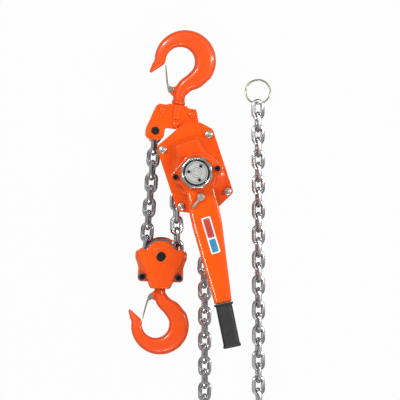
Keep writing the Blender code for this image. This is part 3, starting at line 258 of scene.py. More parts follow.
def edge(bottom, top, low=0.0, high=0.0, grow=0.0):
    """Levels (z, offset) of a wall whose lower and upper edges are rounded."""
    found = []
    for k in range(4 if low else 1):
        a = math.pi / 2 * (k / 3 if low else 1)
        found.append((bottom + low * (1 - math.cos(a)), grow - low * (1 - math.sin(a))))
    for k in range(4 if high else 1):
        a = math.pi / 2 * (k / 3)
        found.append((top - high * (1 - math.sin(a)), grow - high * (1 - math.cos(a))))
    return found


def prism(corners, levels, steps=6):
    """Levels of (z, offset); the outline's own corners are offset 0."""
    return loft([[(x, y, z) for x, y in outline(offset(corners, d), steps)] for z, d in levels])


def spin(profile, steps=40, closed=False, centre=(0, 0)):
    """A profile of (radius, z) turned about the z axis, or about a line parallel to it."""
    turns = [math.tau * k / steps for k in range(steps)]
    rings = []
    for radius, z in profile:
        rings.append([(centre[0] + radius * math.cos(a), centre[1] + radius * math.sin(a), z)
                      for a in turns])
    return loft(rings, closed)


def from_object(obj):
    graph = bpy.context.evaluated_depsgraph_get()
    mesh = bpy.data.meshes.new_from_object(obj.evaluated_get(graph))
    shape = bmesh.new()
    shape.from_mesh(mesh)
    bpy.data.meshes.remove(mesh)
    bpy.data.objects.remove(obj)
    return shape


def plate(points, bottom, top, holes=(), bevel=0.6):
    """A flat plate with rounded edges, also at its holes: a filled 2D curve."""
    curve = bpy.data.curves.new("plate", "CURVE")
    curve.dimensions = "2D"
    curve.fill_mode = "BOTH"
    curve.extrude = (top - bottom) / 2 - bevel
    curve.bevel_depth = bevel
    curve.bevel_resolution = 2
    curve.offset = -bevel
    for ring in (points, *holes):
        spline = curve.splines.new("POLY")
        spline.points.add(len(ring) - 1)
        for point, (x, y) in zip(spline.points, ring):
            point.co = (x, y, 0, 1)
        spline.use_cyclic_u = True
    obj = bpy.data.objects.new("plate", curve)
    bpy.context.scene.collection.objects.link(obj)
    shape = from_object(obj)
    bmesh.ops.remove_doubles(shape, verts=shape.verts, dist=0.001)
    bmesh.ops.translate(shape, verts=shape.verts, vec=(0, 0, (top + bottom) / 2))
    return shape


def temporary(shape):
    bmesh.ops.recalc_face_normals(shape, faces=shape.faces)
    mesh = bpy.data.meshes.new("temporary")
    shape.to_mesh(mesh)
    shape.free()
    obj = bpy.data.objects.new("temporary", mesh)
    bpy.context.scene.collection.objects.link(obj)
    return obj


def combined(shape, operation, *tools):
    """The shape with each tool cut from it or joined to it."""
    base = temporary(shape)
    others = [temporary(tool) for tool in tools]
    for other in others:
        modifier = base.modifiers.new("boolean", "BOOLEAN")
        modifier.operation = operation
        modifier.solver = "EXACT"
        modifier.object = other
    made = from_object(base)
    for other in others:
        bpy.data.objects.remove(other)
    return made


def cut(shape, *tools):
    return combined(shape, "DIFFERENCE", *tools)


def moved(shape, matrix):
    bmesh.ops.transform(shape, matrix=matrix, verts=shape.verts)
    return shape


def along_y(shape):
    return moved(shape, turned(-90, "X"))


def tube(points, radius, steps=10, closed=False):
    """A round bar along points, its rings kept from twisting."""
    points = [Vector(p) for p in points]
    count = len(points)
    tangents = []
    for i in range(count):
        before = points[i - 1] if i or closed else points[0]
        after = points[(i + 1) % count] if i < count - 1 or closed else points[-1]
        tangents.append((after - before).normalized())
    side = tangents[0].orthogonal().normalized()
    rings = []
    for point, tangent in zip(points, tangents):
        side = (side - tangent * side.dot(tangent)).normalized()
        up = tangent.cross(side)
        rings.append([point + (side * math.cos(a) + up * math.sin(a)) * radius
                      for a in [math.tau * k / steps for k in range(steps)]])
    return loft(rings, closed)


def piece(name, body, look, matrix, shapes, nodes=(), angle=32):
    """One shown piece from one or more shapes, in its place, riding on its body."""
    whole = bmesh.new()
    for shape in shapes if isinstance(shapes, (list, tuple)) else [shapes]:
        bmesh.ops.recalc_face_normals(shape, faces=shape.faces)
        part = bpy.data.meshes.new("part")
        shape.to_mesh(part)
        shape.free()
        whole.from_mesh(part)
        bpy.data.meshes.remove(part)
    bmesh.ops.transform(whole, matrix=matrix, verts=whole.verts)
    mesh = bpy.data.meshes.new(name)
    whole.to_mesh(mesh)
    whole.free()
    mesh.materials.append(LOOKS[look])
    mesh.shade_smooth()
    mesh.set_sharp_from_angle(angle=math.radians(angle))
    obj = bpy.data.objects.new(name, mesh)
    bpy.context.scene.collection.objects.link(obj)
    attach(obj, body)
    if nodes:
        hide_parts(*nodes)
    return obj


def hexagon(across, x=0.0, y=0.0, turn=0.0):
    radius = across / math.sqrt(3)
    return [(x + radius * math.cos(turn + math.pi / 3 * k),
             y + radius * math.sin(turn + math.pi / 3 * k)) for k in range(6)]


def socket_screw(radius, bottom, top, across, depth, x, y, turn=0.3):
    """A cap head with rounded edges and a hexagon socket."""
    head = spin([(radius - 0.6, bottom), (radius, bottom + 0.6), (radius, top - 0.8),
                 (radius - 0.25, top - 0.25), (radius - 0.8, top)], 32, centre=(x, y))
    hexa = loft([[(px, py, z) for px, py in hexagon(across, x, y, turn)]
                 for z in (top - depth, top + 2)])
    return cut(head, hexa)


# Camera, floor and light

CAMERA_AT = (0.034, -0.0177, 16)
SENSOR_WIDTH = 36
VIEW_WIDTH, VIEW_LEVEL = 0.9, 0.09
LAMP_TARGET = (0, 0, 0.1)
LAMPS = (
    ("key", (-1.6, 1.4, 2.6), (0.6, 0.6), 50), ("side", (2.2, 0.5, 1.7), (0.3, 1.6), 34),
    ("front", (0.3, -2.2, 2.0), (1.4, 0.3), 20),
)
STUDIO_BANDS = ((0.28, 0.08), (0.45, 0.75), (0.72, 1.0), (0.88, 0.5))


def stage():
    """A long lens straight above, which sees VIEW_WIDTH metres at the height VIEW_LEVEL."""
    camera = bpy.data.objects.new("camera", bpy.data.cameras.new("camera"))
    bpy.context.scene.collection.objects.link(camera)
    camera.location = CAMERA_AT
    camera.data.type = "PERSP"
    camera.data.sensor_width = SENSOR_WIDTH
    camera.data.lens = SENSOR_WIDTH * (CAMERA_AT[2] - VIEW_LEVEL) / VIEW_WIDTH
    camera.data.clip_start, camera.data.clip_end = 1, 200
    bpy.context.scene.camera = camera
    bpy.context.scene.view_settings.view_transform = "Standard"

    bpy.ops.mesh.primitive_plane_add(size=60)
    floor = bpy.context.object
    floor.name = "floor"
    material, nodes, links, shader = node_material("white_floor")
    shader.inputs["Base Color"].default_value = grey(0.45)
    shader.inputs["Roughness"].default_value = 0.9
    glow = nodes.new("ShaderNodeEmission")
    glow.inputs["Color"].default_value = grey(1)
    glow.inputs["Strength"].default_value = 1.0
    mix = nodes.new("ShaderNodeMixShader")
    path = nodes.new("ShaderNodeLightPath")
    share = nodes.new("ShaderNodeMath")
    share.operation = "MULTIPLY"
    share.inputs[1].default_value = 0.97
    links.new(path.outputs["Is Camera Ray"], share.inputs[0])
    links.new(share.outputs["Value"], mix.inputs["Fac"])
    links.new(shader.outputs["BSDF"], mix.inputs[1])
    links.new(glow.outputs["Emission"], mix.inputs[2])
    links.new(mix.outputs["Shader"], nodes["Material Output"].inputs["Surface"])
    floor.data.materials.append(material)
    light_world()
    for name, place, size, power in LAMPS:
        lamp = bpy.data.objects.new(name, bpy.data.lights.new(name, "AREA"))
        bpy.context.scene.collection.objects.link(lamp)
        lamp.location = place
        lamp.rotation_mode = "QUATERNION"
        aim = Vector(place) - Vector(LAMP_TARGET)
        lamp.rotation_quaternion = aim.to_track_quat("Z", "Y")
        lamp.data.shape = "RECTANGLE"
        lamp.data.size, lamp.data.size_y = size
        lamp.data.energy = power


def light_world():
    """White to the camera; to the object a studio, bright overhead with a dark band low down."""
    world = bpy.data.worlds.new("studio")
    bpy.context.scene.world = world
    world.use_nodes = True
    nodes, links = world.node_tree.nodes, world.node_tree.links
    where = nodes.new("ShaderNodeTexCoord").outputs["Generated"]
    parts = nodes.new("ShaderNodeSeparateXYZ")
    links.new(where, parts.inputs["Vector"])
    band = nodes.new("ShaderNodeValToRGB")
    band.color_ramp.elements[0].color = grey(0.05)
    band.color_ramp.elements[1].color = grey(0.30)
    for position, value in STUDIO_BANDS:
        band.color_ramp.elements.new(position).color = grey(value)
    links.new(parts.outputs["Z"], band.inputs["Fac"])
    studio = nodes["Background"]
    studio.inputs["Strength"].default_value = 0.78
    links.new(band.outputs["Color"], studio.inputs["Color"])
    white = nodes.new("ShaderNodeBackground")
    white.inputs["Color"].default_value = grey(1)
    path = nodes.new("ShaderNodeLightPath")
    mix = nodes.new("ShaderNodeMixShader")
    links.new(path.outputs["Is Camera Ray"], mix.inputs["Fac"])
    links.new(studio.outputs["Background"], mix.inputs[1])
    links.new(white.outputs["Background"], mix.inputs[2])
    links.new(mix.outputs["Shader"], nodes["World Output"].inputs["Surface"])


# Chain

PITCH = 28.0
WIRE_RADIUS = 4.9
LINK_BEND = 10.6  # the wire's centre line in a link's round ends
LINK_STRAIGHT = 8.6  # half of a link's straight sides
CHAIN_TWIST = math.radians(14)
IDLER_RADIUS = 36.0
Z_IDLER = 38
LEVEL_RUN = 46  # of each fall, beside the block and as low as the idler
SHEAVE_RADIUS = 45.6
RISE = (-95, 56.3), (-24, Z_CHAIN)  # (y from the hub, z) where the live fall climbs to the sheave
ANCHOR = (-41.2, -70.9)  # in the yoke's frame
HELD_START = 5
HELD_SHIFTS = (14, 284, 397), (-22, 600, 780)  # links moved on, between two lengths of chain
SLACK_EXIT_ANGLE = math.radians(-8)
EXIT_RUN = 84
ROUTE_BEFORE_EXIT = 20
FIRST_SLACK_LINK, SLACK_SPARE = 12, 30
SLACK_ROUTE = (
    (55.4, -76, 62.6), (51, -104, 50), (47, -131, 30), (43.8, -160, 17.5), (43.2, -195, 16),
    (44.5, -232, 16), (44.5, -290, 16), (44.5, -350, 16), (44.5, -410, 16), (43, -470, 16),
    (30, -525, 16), (0, -572, 16), (-42, -612, 16), (-78, -654, 16), (-96, -704, 16),
    (-99, -765, 16), (-99, -826, 16), (-79, -876, 16), (-31, -898, 16), (17, -876, 16),
    (37, -826, 16), (37, -760, 16), (37, -700, 16), (57, -652, 16), (105, -630, 16),
    (153, -652, 16), (173, -700, 16), (173, -760, 16), (173, -826, 16), (193, -876, 16),
    (241, -898, 16), (289, -876, 16), (309, -826, 16), (309, -765, 16), (306, -704, 16),
    (288, -654, 16), (252, -612, 16), (210, -572, 16), (180, -525, 16), (167.5, -470, 16),
    (166, -410, 16), (166, -330, 16), (166, -230, 16), (166, -120, 16), (166, 0, 16),
    (165.4, 100, 16), (164.9, 205, 16),
)


def smooth_route(points, step):
    """Evenly spaced points on the smooth curve through the route's own points."""
    points = [Vector(p) for p in points]
    ends = [2 * points[0] - points[1], *points, 2 * points[-1] - points[-2]]
    fine = []
    for a, b, c, d in zip(ends, ends[1:], ends[2:], ends[3:]):
        fine += [curve_through(a, b, c, d, k / 24) for k in range(24)]
    return even([*fine, points[-1]], step)


def length_of(points):
    return sum((q - p).length for p, q in zip(points, points[1:]))


def even(fine, step):
    """Evenly spaced points along a line of finer ones."""
    total = length_of(fine)
    pieces = max(1, round(total / step))
    found, passed = [fine[0]], 0.0
    for p, q in zip(fine, fine[1:]):
        while len(found) < pieces and passed + (q - p).length >= total / pieces * len(found):
            found.append(p.lerp(q, (total / pieces * len(found) - passed) / (q - p).length))
        passed += (q - p).length
    return [*found, fine[-1]]


def link(centre, tangent, turn):
    """One welded link: its long axis along the tangent, turned about it by an angle."""
    across = Vector((0, 0, 1)).cross(tangent).normalized()
    across = Matrix.Rotation(turn, 3, tangent) @ across
    path = []
    for end in (1, -1):
        for k in range(9):
            a = math.pi * (k / 8 - 0.5)
            path.append(centre + tangent * end * (LINK_STRAIGHT + LINK_BEND * math.cos(a))
                        + across * end * LINK_BEND * math.sin(a))
        path.append(centre + across * end * LINK_BEND)
    return tube(path, WIRE_RADIUS, 10, closed=True)


def eased(value, start, end):
    share = max(0.0, min(1.0, (value - start) / (end - start)))
    return share * share * (3 - 2 * share)


def links_along(points, first, count, pitch, odd=0, shifts=()):
    """(link, its centre) for a run of links, every second one turned on edge."""
    lengths = [0.0]
    for p, q in zip(points, points[1:]):
        lengths.append(lengths[-1] + (q - p).length)
    found, at = [], 0
    for k in range(count):
        s = min(first + k * pitch, lengths[-1])
        s += sum(amount * eased(s, start, end) for amount, start, end in shifts)
        while at < len(points) - 2 and lengths[at + 1] < s:
            at += 1
        share = (s - lengths[at]) / (lengths[at + 1] - lengths[at])
        centre = points[at].lerp(points[at + 1], share)
        ahead, behind = points[min(at + 2, len(points) - 1)], points[max(at - 1, 0)]
        turn = CHAIN_TWIST + (math.pi / 2 if (k + odd) % 2 else 0)
        found.append((link(centre, (ahead - behind).normalized(), turn), centre))
    return found


def chain():
    """Two falls and what wraps the idler and the sheave, then the slack end on the floor."""
    anchor = YOKE @ Vector((*ANCHOR, 0)) * 1000
    foot = Vector((AXLE[0] + IDLER_RADIUS, AXLE[1], Z_IDLER))
    lift = Vector((HUB[0] - SHEAVE_RADIUS, HUB[1], Z_CHAIN))
    end = Vector((AXLE[0] - IDLER_RADIUS, AXLE[1], Z_IDLER))
    dead = anchor.lerp(end, 1 - LEVEL_RUN / (anchor.y - end.y))
    live = foot.lerp(lift, LEVEL_RUN / (lift.y - foot.y))
    dead.z = live.z = Z_IDLER
    wrap = []
    for k in range(25):
        a = math.pi * k / 24
        wrap.append(Vector((AXLE[0] - IDLER_RADIUS * math.cos(a),
                            AXLE[1] - IDLER_RADIUS * math.sin(a), Z_IDLER)))
    over = []
    for k in range(31):
        a = math.pi + (SLACK_EXIT_ANGLE - math.pi) * k / 30
        over.append(Vector((HUB[0] + SHEAVE_RADIUS * math.cos(a),
                            HUB[1] + SHEAVE_RADIUS * math.sin(a), Z_CHAIN)))
    leave = Vector((math.sin(SLACK_EXIT_ANGLE), -math.cos(SLACK_EXIT_ANGLE), 0))
    out = over[-1] + leave * EXIT_RUN
    rise = [Vector((lift.x, HUB[1] + y, z)) for y, z in RISE]
    held = even([anchor, dead, *wrap, live, *rise, *over, out], 3)
    route = smooth_route([out - leave * ROUTE_BEFORE_EXIT, out + leave * 3, *SLACK_ROUTE], 7)

    count = round((length_of(held) - HELD_START) / PITCH)
    pitch = (length_of(held) - HELD_START) / count
    groups = {"fall": [], "live": [], "idler": [], "sheave": []}
    placed_links = links_along(held, HELD_START, count, pitch, shifts=HELD_SHIFTS)
    for k, (shape, centre) in enumerate(placed_links):
        low = centre.y < AXLE[1] + 2
        left = k * pitch < 400 and centre.x < AXLE[0]
        group = "idler" if low else "fall" if left else "live" if centre.y < HUB[1] else "sheave"
        if group == "live" and centre.x > HUB[0]:
            group = "sheave"
        groups[group].append(shape)
    dead_fall = piece("links_dead_fall", "frame", "chain", FLOOR, groups["fall"],
                      ["chain_dead_fall"])
    live_fall = piece("links_live_fall", "frame", "chain", FLOOR, groups["live"],
                      ["chain_live_fall"])
    piece("links_on_sheave", "frame", "chain", FLOOR, groups["sheave"])
    piece("links_on_idler", "block", "chain", FLOOR, groups["idler"], ["chain_idler_wrap"])
    for fall, top in ((dead_fall, anchor.y), (live_fall, HUB[1])):
        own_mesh(fall)

    total = length_of(route)
    number = round((total - SLACK_SPARE) / PITCH)
    number += (number + count) % 2 == 0
    pitch = (total - SLACK_SPARE) / (number - 1)
    spaced = links_along(route, FIRST_SLACK_LINK, number, pitch, count)
    slack = piece("links_slack", "frame", "chain", FLOOR, [shape for shape, _ in spaced],
                  ["chain_slack"])
    ring = split_ring()


def split_ring():
    """Two turns of round wire, one side lying in the last link and the other on the floor."""
    radius, wire, spread, raised, steps = 27.8, 1.9, 4.16, 13.4, 96
    path = []
    for k in range(steps + 1):
        a = math.tau * 2 * k / steps + math.pi / 2
        path.append((radius * math.cos(a), radius * math.sin(a), spread * (k / steps - 0.5)))
    tilt = Matrix.Rotation(-math.asin(raised / (2 * radius)), 4, "X")
    place = Matrix.Translation((0.1649, 0.2272, 0.0103)) @ tilt @ Matrix.Scale(0.001, 4)
    return piece("split_ring", "frame", "olive", place, tube(path, wire, 12), ["chain_end_ring"])


# Hooks

HOOK_STATIONS = (
    ((-13, -1.8), (12.6, -1.8), 25, 2.0), ((-13.5, 5), (13, 5), 26, 2.0),
    ((-13.8, 12), (12.5, 10.5), 29, 2.1), ((-12.8, 26), (13.8, 18.5), 31, 2.2),
    ((-10, 40), (25, 31.5), 34, 2.5), ((-2, 53), (42, 41.5), 36, 2.8),
    ((9.5, 65), (55.5, 57.5), 37, 3.0),
)
BOWL = (-11.3, 91.9, 33)
BACK = (-0.5, 95.5, 69.5)
BOWL_THICKNESS = ((-22, 38), (0, 38), (25, 38), (50, 38), (75, 37), (100, 36), (125, 34),
                  (150, 31), (172, 28), (188, 26))
HOOK_TIP = (
    ((-47, 79.5), (-72.5, 77.5), 23, 2.8), ((-54, 72.5), (-74, 70), 19, 2.6),
    ((-62, 65.2), (-75.4, 65), 15, 2.3), ((-67.6, 60.2), (-76, 61.6), 12, 2.0),
    ((-70.4, 57.4), (-75.8, 58.6), 8, 2.0), ((-72.2, 56.6), (-74.6, 57.0), 3, 2.0),
)


def hook_section(inner, outer, thickness, power):
    """A rounded section, thicker at the load's side. The power sets how flat its faces are."""
    found = []
    for k in range(32):
        a = math.tau * k / 32
        u = 0.5 - 0.5 * math.copysign(abs(math.cos(a)) ** (2 / power), math.cos(a))
        h = 0.5 * math.copysign(abs(math.sin(a)) ** (2 / power), math.sin(a)) * (1.06 - 0.22 * u)
        found.append((inner[0] + (outer[0] - inner[0]) * u, inner[1] + (outer[1] - inner[1]) * u,
                      thickness * h))
    return found


def hook_body():
    stations = list(HOOK_STATIONS)
    for degrees, thickness in BOWL_THICKNESS:
        a = math.radians(degrees)
        inner = (BOWL[0] + BOWL[2] * math.cos(a), BOWL[1] + BOWL[2] * math.sin(a))
        outer = (BACK[0] + BACK[2] * math.cos(a), BACK[1] + BACK[2] * math.sin(a))
        stations.append((inner, outer, thickness, 3.0))
    stations += list(HOOK_TIP)
    flat = [Vector((*inner, *outer)) for inner, outer, _, _ in stations]
    other = [Vector((thickness, power)) for _, _, thickness, power in stations]
    rings = []
    for i in range(len(stations) - 1):
        four = [max(0, i - 1), i, i + 1, min(len(stations) - 1, i + 2)]
        for k in range(5):
            ends, (thickness, power) = (curve_through(*(values[j] for j in four), k / 5)
                                        for values in (flat, other))
            rings.append(hook_section(ends[:2], ends[2:], thickness, power))
    rings.append(hook_section(*stations[-1]))
    return loft(rings)


def hook(name, body, matrix, shank):
    """A forged hook with its collar, the shank's end at that height, and the latch's lug."""
    collar = along_y(spin([(11, 6), (13.4, 4.6), (15.2, 1.6), (15.4, -0.5), (15.2, -3.2),
                           (14.2, -4.2), (13.2, -4.8), (13.2, -5.6), (14, -6.4), (14, shank),
                           (17.3, shank), (17.3, shank - 5.2), (15, shank - 5.4)], 40))
    lug = prism([(-6, 39, 2), (-23.2, 29.8, 5), (-24.5, 19, 5), (-7, 6, 2)],
                edge(-6.4, 6.4, 1.5, 1.5))
    piece(name, body, "forged", matrix, [hook_body(), collar, lug], [name], angle=50)


def latch(name, body, matrix):
    """A folded plate with two ears, its pin and a wire spring."""
    fold = matrix @ Matrix.Translation((-20.5, 25.2, 0)) @ turned(15.2)
    side = [(-9.5, -3), (9.5, -3), (9.5, 12), (11.2, 24), (9.6, 40), (8, 57), (-8, 57),
            (-9.6, 40), (-11.2, 24), (-9.5, 12)]
    rings = []
    for depth, pull in ((5.6, 0.5), (6.1, 0), (7.5, 0), (8.0, 0.5)):
        ring = []
        for x, y in outline([(*p, 4) for p in side], 4):
            bow = 1.2 * math.sin(math.pi * max(0, min(1, (y + 3) / 60)))
            ring.append((-depth - bow, y + (pull if y < 27 else -pull),
                         x - math.copysign(pull, x)))
        rings.append(ring)
    ear = [(-7.4, -5, 1.5), (5.5, -5, 4.8), (5.5, 5.5, 4.8), (-7.4, 13, 2)]
    ears = [plate(outline(ear), low, low + 2.0, bevel=0.4) for low in (-9.2, 7.2)]
    piece(name, body, "olive", fold, [loft(rings), *ears], [name])
    pin = spin([(4.2, -11), (4.6, -10.4), (4.6, -9.6), (3, -9.5), (3, 9.5), (4.6, 9.6),
                (4.6, 10.4), (4.2, 11)], 24)
    piece(f"{name}_rivet", body, "zinc", fold, pin, [f"{name}_pin"])
    spring = []
    for end in (-1, 1):
        turns = [(3.9 * math.cos(math.tau * k / 12), 3.9 * math.sin(math.tau * k / 12),
                  end * 6.55) for k in range(13)]
        spring.append(tube([*turns, (-4.6, 8, end * 6.6), (-5.0, 20, end * 6.0)], 0.45, 6))
    piece(f"{name}_spring", body, "zinc", fold, spring)


# Yoke


YOKE_OUTLINE = (
    (-62.5, -91.4, 20.5), (-20.5, -91.4, 20.5), (-20.5, -62, 4), (-14, -60.5, 5),
    (12, -60, 5), (12, -79, 17), (50, -79, 17), (54, -42, 10),
    (44, -10.5, 13), (24, -9, 4), (20, -5, 4), (-20, -5.5, 4), (-29, -11, 5), (-47, -9, 12),
    (-63, -68, 12),
)
YOKE_RIVETS = ((-32.7, -22.8), (34.6, -22.8), (0.6, -49.2))


def yoke():
    for name, side in (("front", 1), ("back", -1)):
        low, high = sorted((side * 18, side * 23))
        plane = plate(outline(YOKE_OUTLINE, 8), low, high, bevel=1.2)
        swell = along_y(spin([(11.6, -36.5), (12.6, -38), (12.6, -6), (11.8, -5)], 40))
        swell = moved(swell, Matrix.Translation((0, 0, side * 15)))
        low, high = sorted((side * 18, -side * 60))
        swell = cut(swell, loft([[(-30, -60, z), (30, -60, z), (30, 10, z), (-30, 10, z)]
                                 for z in (low, high)]))
        piece(f"yoke_{name}", "frame", "paint", YOKE, [plane, swell], [f"yoke_plate_{name}"])
    block = prism([(-42.5, -33, 2), (42.5, -33, 2), (42.5, -9, 2), (-42.5, -9, 2)],
                  edge(-17.7, 17.7, 1, 1))
    block = cut(block, along_y(spin([(14.4, -50), (14.4, 10)], 40)))
    # The hook seat gets the darker orange of painted shade, standing in for the shade the yoke
    # plates cast on it.
    piece("hook_seat", "frame", "shade", YOKE, block, ["hook_socket"])
    for i, (x, y) in enumerate(YOKE_RIVETS, 1):
        domes = []
        for side in (1, -1):
            profile = [(7.9, 23.2), (7.7, 24.2), (6.8, 25.2), (5.2, 25.9), (3, 26.3), (0.6, 26.4)]
            domes.append(spin([(r, side * z) for r, z in profile], 28, centre=(x, y)))
        domes.append(spin([(5, -23.5), (5, 23.5)], 20, centre=(x, y)))
        piece(f"painted_rivet_{i}", "frame", "paint", YOKE, domes, [f"yoke_rivet_{i}"])
    hexes = [prism([(px, py, 2.2) for px, py in hexagon(17.2, *ANCHOR, 0.4)],
                   edge(low, high, 0.8, 0.8), 3) for low, high in ((17, 25.2), (-25.2, -17))]
    body = spin([(6, -20), (6, 20)], 24, centre=ANCHOR)
    piece("anchor_pin", "frame", "black", YOKE, [*hexes, body], ["chain_anchor_pin"])


# Body

COVER_BASE = 91.9
NUT_BASE = 95.2
PLATE = (
    (-68, -69, 10), (-2, -100.5, 12), (65.5, -68, 10), (65.5, 82, 14),
    (43, 105.5, 8), (12, 117, 10), (-68, 84, 12),
)
STUDS = {"upper_left": (-56, 73), "upper_right": (53, 73), "lower_right": (53, -61.7),
         "lower_left": (-56, -61.7)}
DOME = (
    (-56, -56, 56), (56, -56, 56), (56, 22, 20), (37.5, 46, 12),
    (34, 80, 14), (-34, 80, 14), (-37.5, 46, 12), (-56, 22, 20),
)


def housing():
    """The gear cover at the back and the brake cover at the front, both on pressed flanges."""
    stadium = [(-43, -90.5, 43), (43, -90.5, 43), (43, 90.5, 43), (-43, 90.5, 43)]
    outer = [*edge(0, 31, 4, 0), (32, 0.4), (33, 2)]
    inner = [(33.9, -3), (4.5, -3), (3, -5)]
    rings = [[(x, y, z) for x, y in outline(offset(stadium, d), 14)] for z, d in outer + inner]
    flange = plate(outline(PLATE, 8), 31.3, 34.3, [outline(offset(stadium, -2.6), 14)], 0.7)
    piece("gear_housing", "frame", "paint", BODY, [loft(rings), flange], ["gear_cover"])

    base = COVER_BASE
    outer = [(base + 2, 4.0), (base + 3.1, 3.2), (base + 3.6, 1.8), (base + 5.5, 0.3),
             (base + 7.6, -0.4), (base + 8.6, -1.2), (base + 9.0, -2.6), (base + 9.8, -3.5),
             (base + 18, -4.6), (base + 21, -5.8), (base + 23.4, -8.2), (base + 24.7, -10.8),
             (base + 25.2, -13.5)]
    rings = [[(x, y, z) for x, y in outline(offset(DOME, d), 8)] for z, d in outer]
    turns = [math.atan2(y, x) for x, y, _ in rings[0]]
    mouth = [(27.5 * math.cos(a), 27.5 * math.sin(a)) for a in turns]
    for z in (base + 25.2, base + 22.6):
        rings.append([(x, y, z) for x, y in mouth])
    inner = [(base + 22.6, -12), (base + 17, -5.3), (base + 9, -4.3), (base + 4, -3),
             (base + 0.5, -2.6), (base + 0.5, 3)]
    for z, d in inner:
        rings.append([(x, y, z) for x, y in outline(offset(DOME, d), 8)])
    flange = plate(outline(PLATE, 8), base, base + 3, [outline(offset(DOME, -2.4), 8)], 0.8)
    piece("brake_housing", "frame", "paint", BODY, [loft(rings, closed=True), flange],
          ["brake_cover"], angle=40)


def cover_nuts():
    base = NUT_BASE
    for name, (x, y) in STUDS.items():
        flange = spin([(5, base), (9.1, base), (9.2, base + 0.8), (8.6, base + 1.5),
                       (6.6, base + 2.6)], 32, centre=(x, y))
        nut = prism([(px, py, 1.2) for px, py in hexagon(12.4, x, y, 0.5)],
                    edge(base + 1.2, base + 7.6, 0, 1.2), 3)
        ring = spin([(6.2, base + 7.2), (5.6, base + 8), (4.6, base + 8.3)], 28, centre=(x, y))
        thread = [(3.9 if k % 2 else 3.4, base + 0.5 + k * 0.6) for k in range(16)]
        stud = spin([*thread, (3.3, base + 10.1), (2.6, base + 10.4)], 20, centre=(x, y))
        piece(f"flange_nut_{name}", "frame", "zinc", BODY, [flange, nut, ring, stud],
              [f"cover_stud_{name}"])


# Lever

LEVER_TOP = 146.3
PAN_SIDE = ((60.5, 5.5, 10), (60.5, -8, 9), (38, -22, 8), (31, -42, 14))
PAN_TOP = (12, 42.5, 16)
PAN_END = (31, -66, 4)
ARM_SIDE = ((31, -60, 12), (33.5, -88, 12), (33, -120, 20), (19, -298, 4))


def lever():
    whole = mirrored([*reversed(ARM_SIDE), *reversed(PAN_SIDE)], PAN_TOP)
    low, top = 130.3, LEVER_TOP
    levels = [(low, -2.6), (low, 0.2), (low + 0.8, 0.6), (low + 2.0, 0),
              *edge(low + 2.2, top, 0, 3.2), (top - 0.1, -4.4), (top - 1.1, -6.2),
              (top - 1.5, -7.4), (top - 1.6, -8.4)]
    front = prism(whole, levels, 8)
    hollow = prism(whole, [(low - 1, -2.5), (top - 6, -2.9), (top - 4.4, -4)], 8)
    arm_only = mirrored([*reversed(ARM_SIDE[1:]), (32, -69, 2)])
    deep = prism(arm_only, [(122.5, -1.6), (122.3, -0.8), (123.2, 0), (low + 4, 0)], 8)
    deep_hollow = prism(arm_only, [(120, -2.6), (low + 6, -2.6)], 8)
    arm = combined(front, "UNION", deep)
    wheel_hole = spin([(21, top - 8), (21, top + 3)], 40)
    arm = cut(arm, hollow, deep_hollow, wheel_hole)
    piece("lever_shell", "lever", "paint", LEVER, arm, ["lever_arm"], angle=40)

    pan = mirrored([PAN_END, *reversed(PAN_SIDE)], PAN_TOP)
    rear = prism(pan, [*edge(118, 129.2, 2, 0), (129.5, 0.7), (130, 0.7)], 8)
    inside = prism(pan, [(120.5, -3.5), (132, -2.5)], 8)
    mouth = spin([(28.3, 112), (28.3, 124)], 40)
    piece("lever_back", "lever", "paint", LEVER, cut(rear, inside, mouth), ["lever_rear_case"],
          angle=40)
    for name, x in (("left", -48), ("right", 48)):
        seat = spin([(8.4, top - 3), (8.4, top - 0.5), (7.9, top + 0.2)], 32, centre=(x, 0))
        piece(f"ear_{name}", "lever", "paint", LEVER, seat)
        screw = socket_screw(6.4, top + 0.3, top + 6, 5.2, 3.4, x, 0)
        post = spin([(3, 119), (3, top + 1)], 16, centre=(x, 0))
        piece(f"ear_screw_{name}", "lever", "black", LEVER, [screw, post],
              [f"lever_screw_{name}"])
    label()
    grip()


def label():
    """A plain sticker: two colour fields on a white ground."""
    base, middle = LEVER_TOP - 1.6, 144
    for name, look, low, high, wide, height in (
        ("ground", "white", -186, -102, 10.6, 0.35), ("red_field", "red", -149.5, -105, 7.4, 0.5),
        ("blue_field", "blue", -183, -153, 7.4, 0.5),
    ):
        corners = [(3.2 - wide, low, 3), (3.2 + wide, low, 3), (3.2 + wide, high, 3),
                   (3.2 - wide, high, 3)]
        shape = plate(outline(corners), base - 0.2, base + height, bevel=0.1)
        turn = (Matrix.Translation((0, -middle, 0)) @ turned(5)
                @ Matrix.Translation((0, middle, 0)))
        piece(f"label_{name}", "lever", look, LEVER, moved(shape, turn))


def grip():
    """A rubber sleeve with raised lips and a diamond knurl between them."""
    middle, start = 136.8, -299.0
    wide, deep, corner = 18.6, 14.6, 9.0
    total = 4 * (wide - corner) + 4 * (deep - corner) + 2 * corner * math.pi
    rows, around = 92, 132
    diamond_length, diamonds_around = 4.6, 28
    lips = [(0, 2.0), (0.4, 3.2), (3.4, 3.4), (4.4, 2.8), (5.2, 0.4), (6.4, -0.2)]
    foot = [(92.5, -0.2), (93.5, 0.6), (95, 1.6), (98.8, 1.7), (100.4, 0.9), (100.9, -0.8)]
    knurl = [(6.4 + (92.5 - 6.4) * k / rows, None) for k in range(1, rows)]
    rings = []
    for along, grow in [*lips, *knurl, *foot]:
        ring = []
        for k in range(around):
            x, y, nx, ny = round_box(total * k / around, wide, deep, corner)
            if grow is None:
                u = along / diamond_length
                v = k / around * diamonds_around
                height = 0.55 * (abs(((u + v) % 1) - 0.5) + abs(((u - v) % 1) - 0.5)) - 0.35
            else:
                height = grow
            ring.append((x + nx * height, start - along, middle + y + ny * height))
        rings.append(ring)
    piece("rubber_sleeve", "lever", "rubber", LEVER, loft(rings), ["lever_grip"], angle=55)


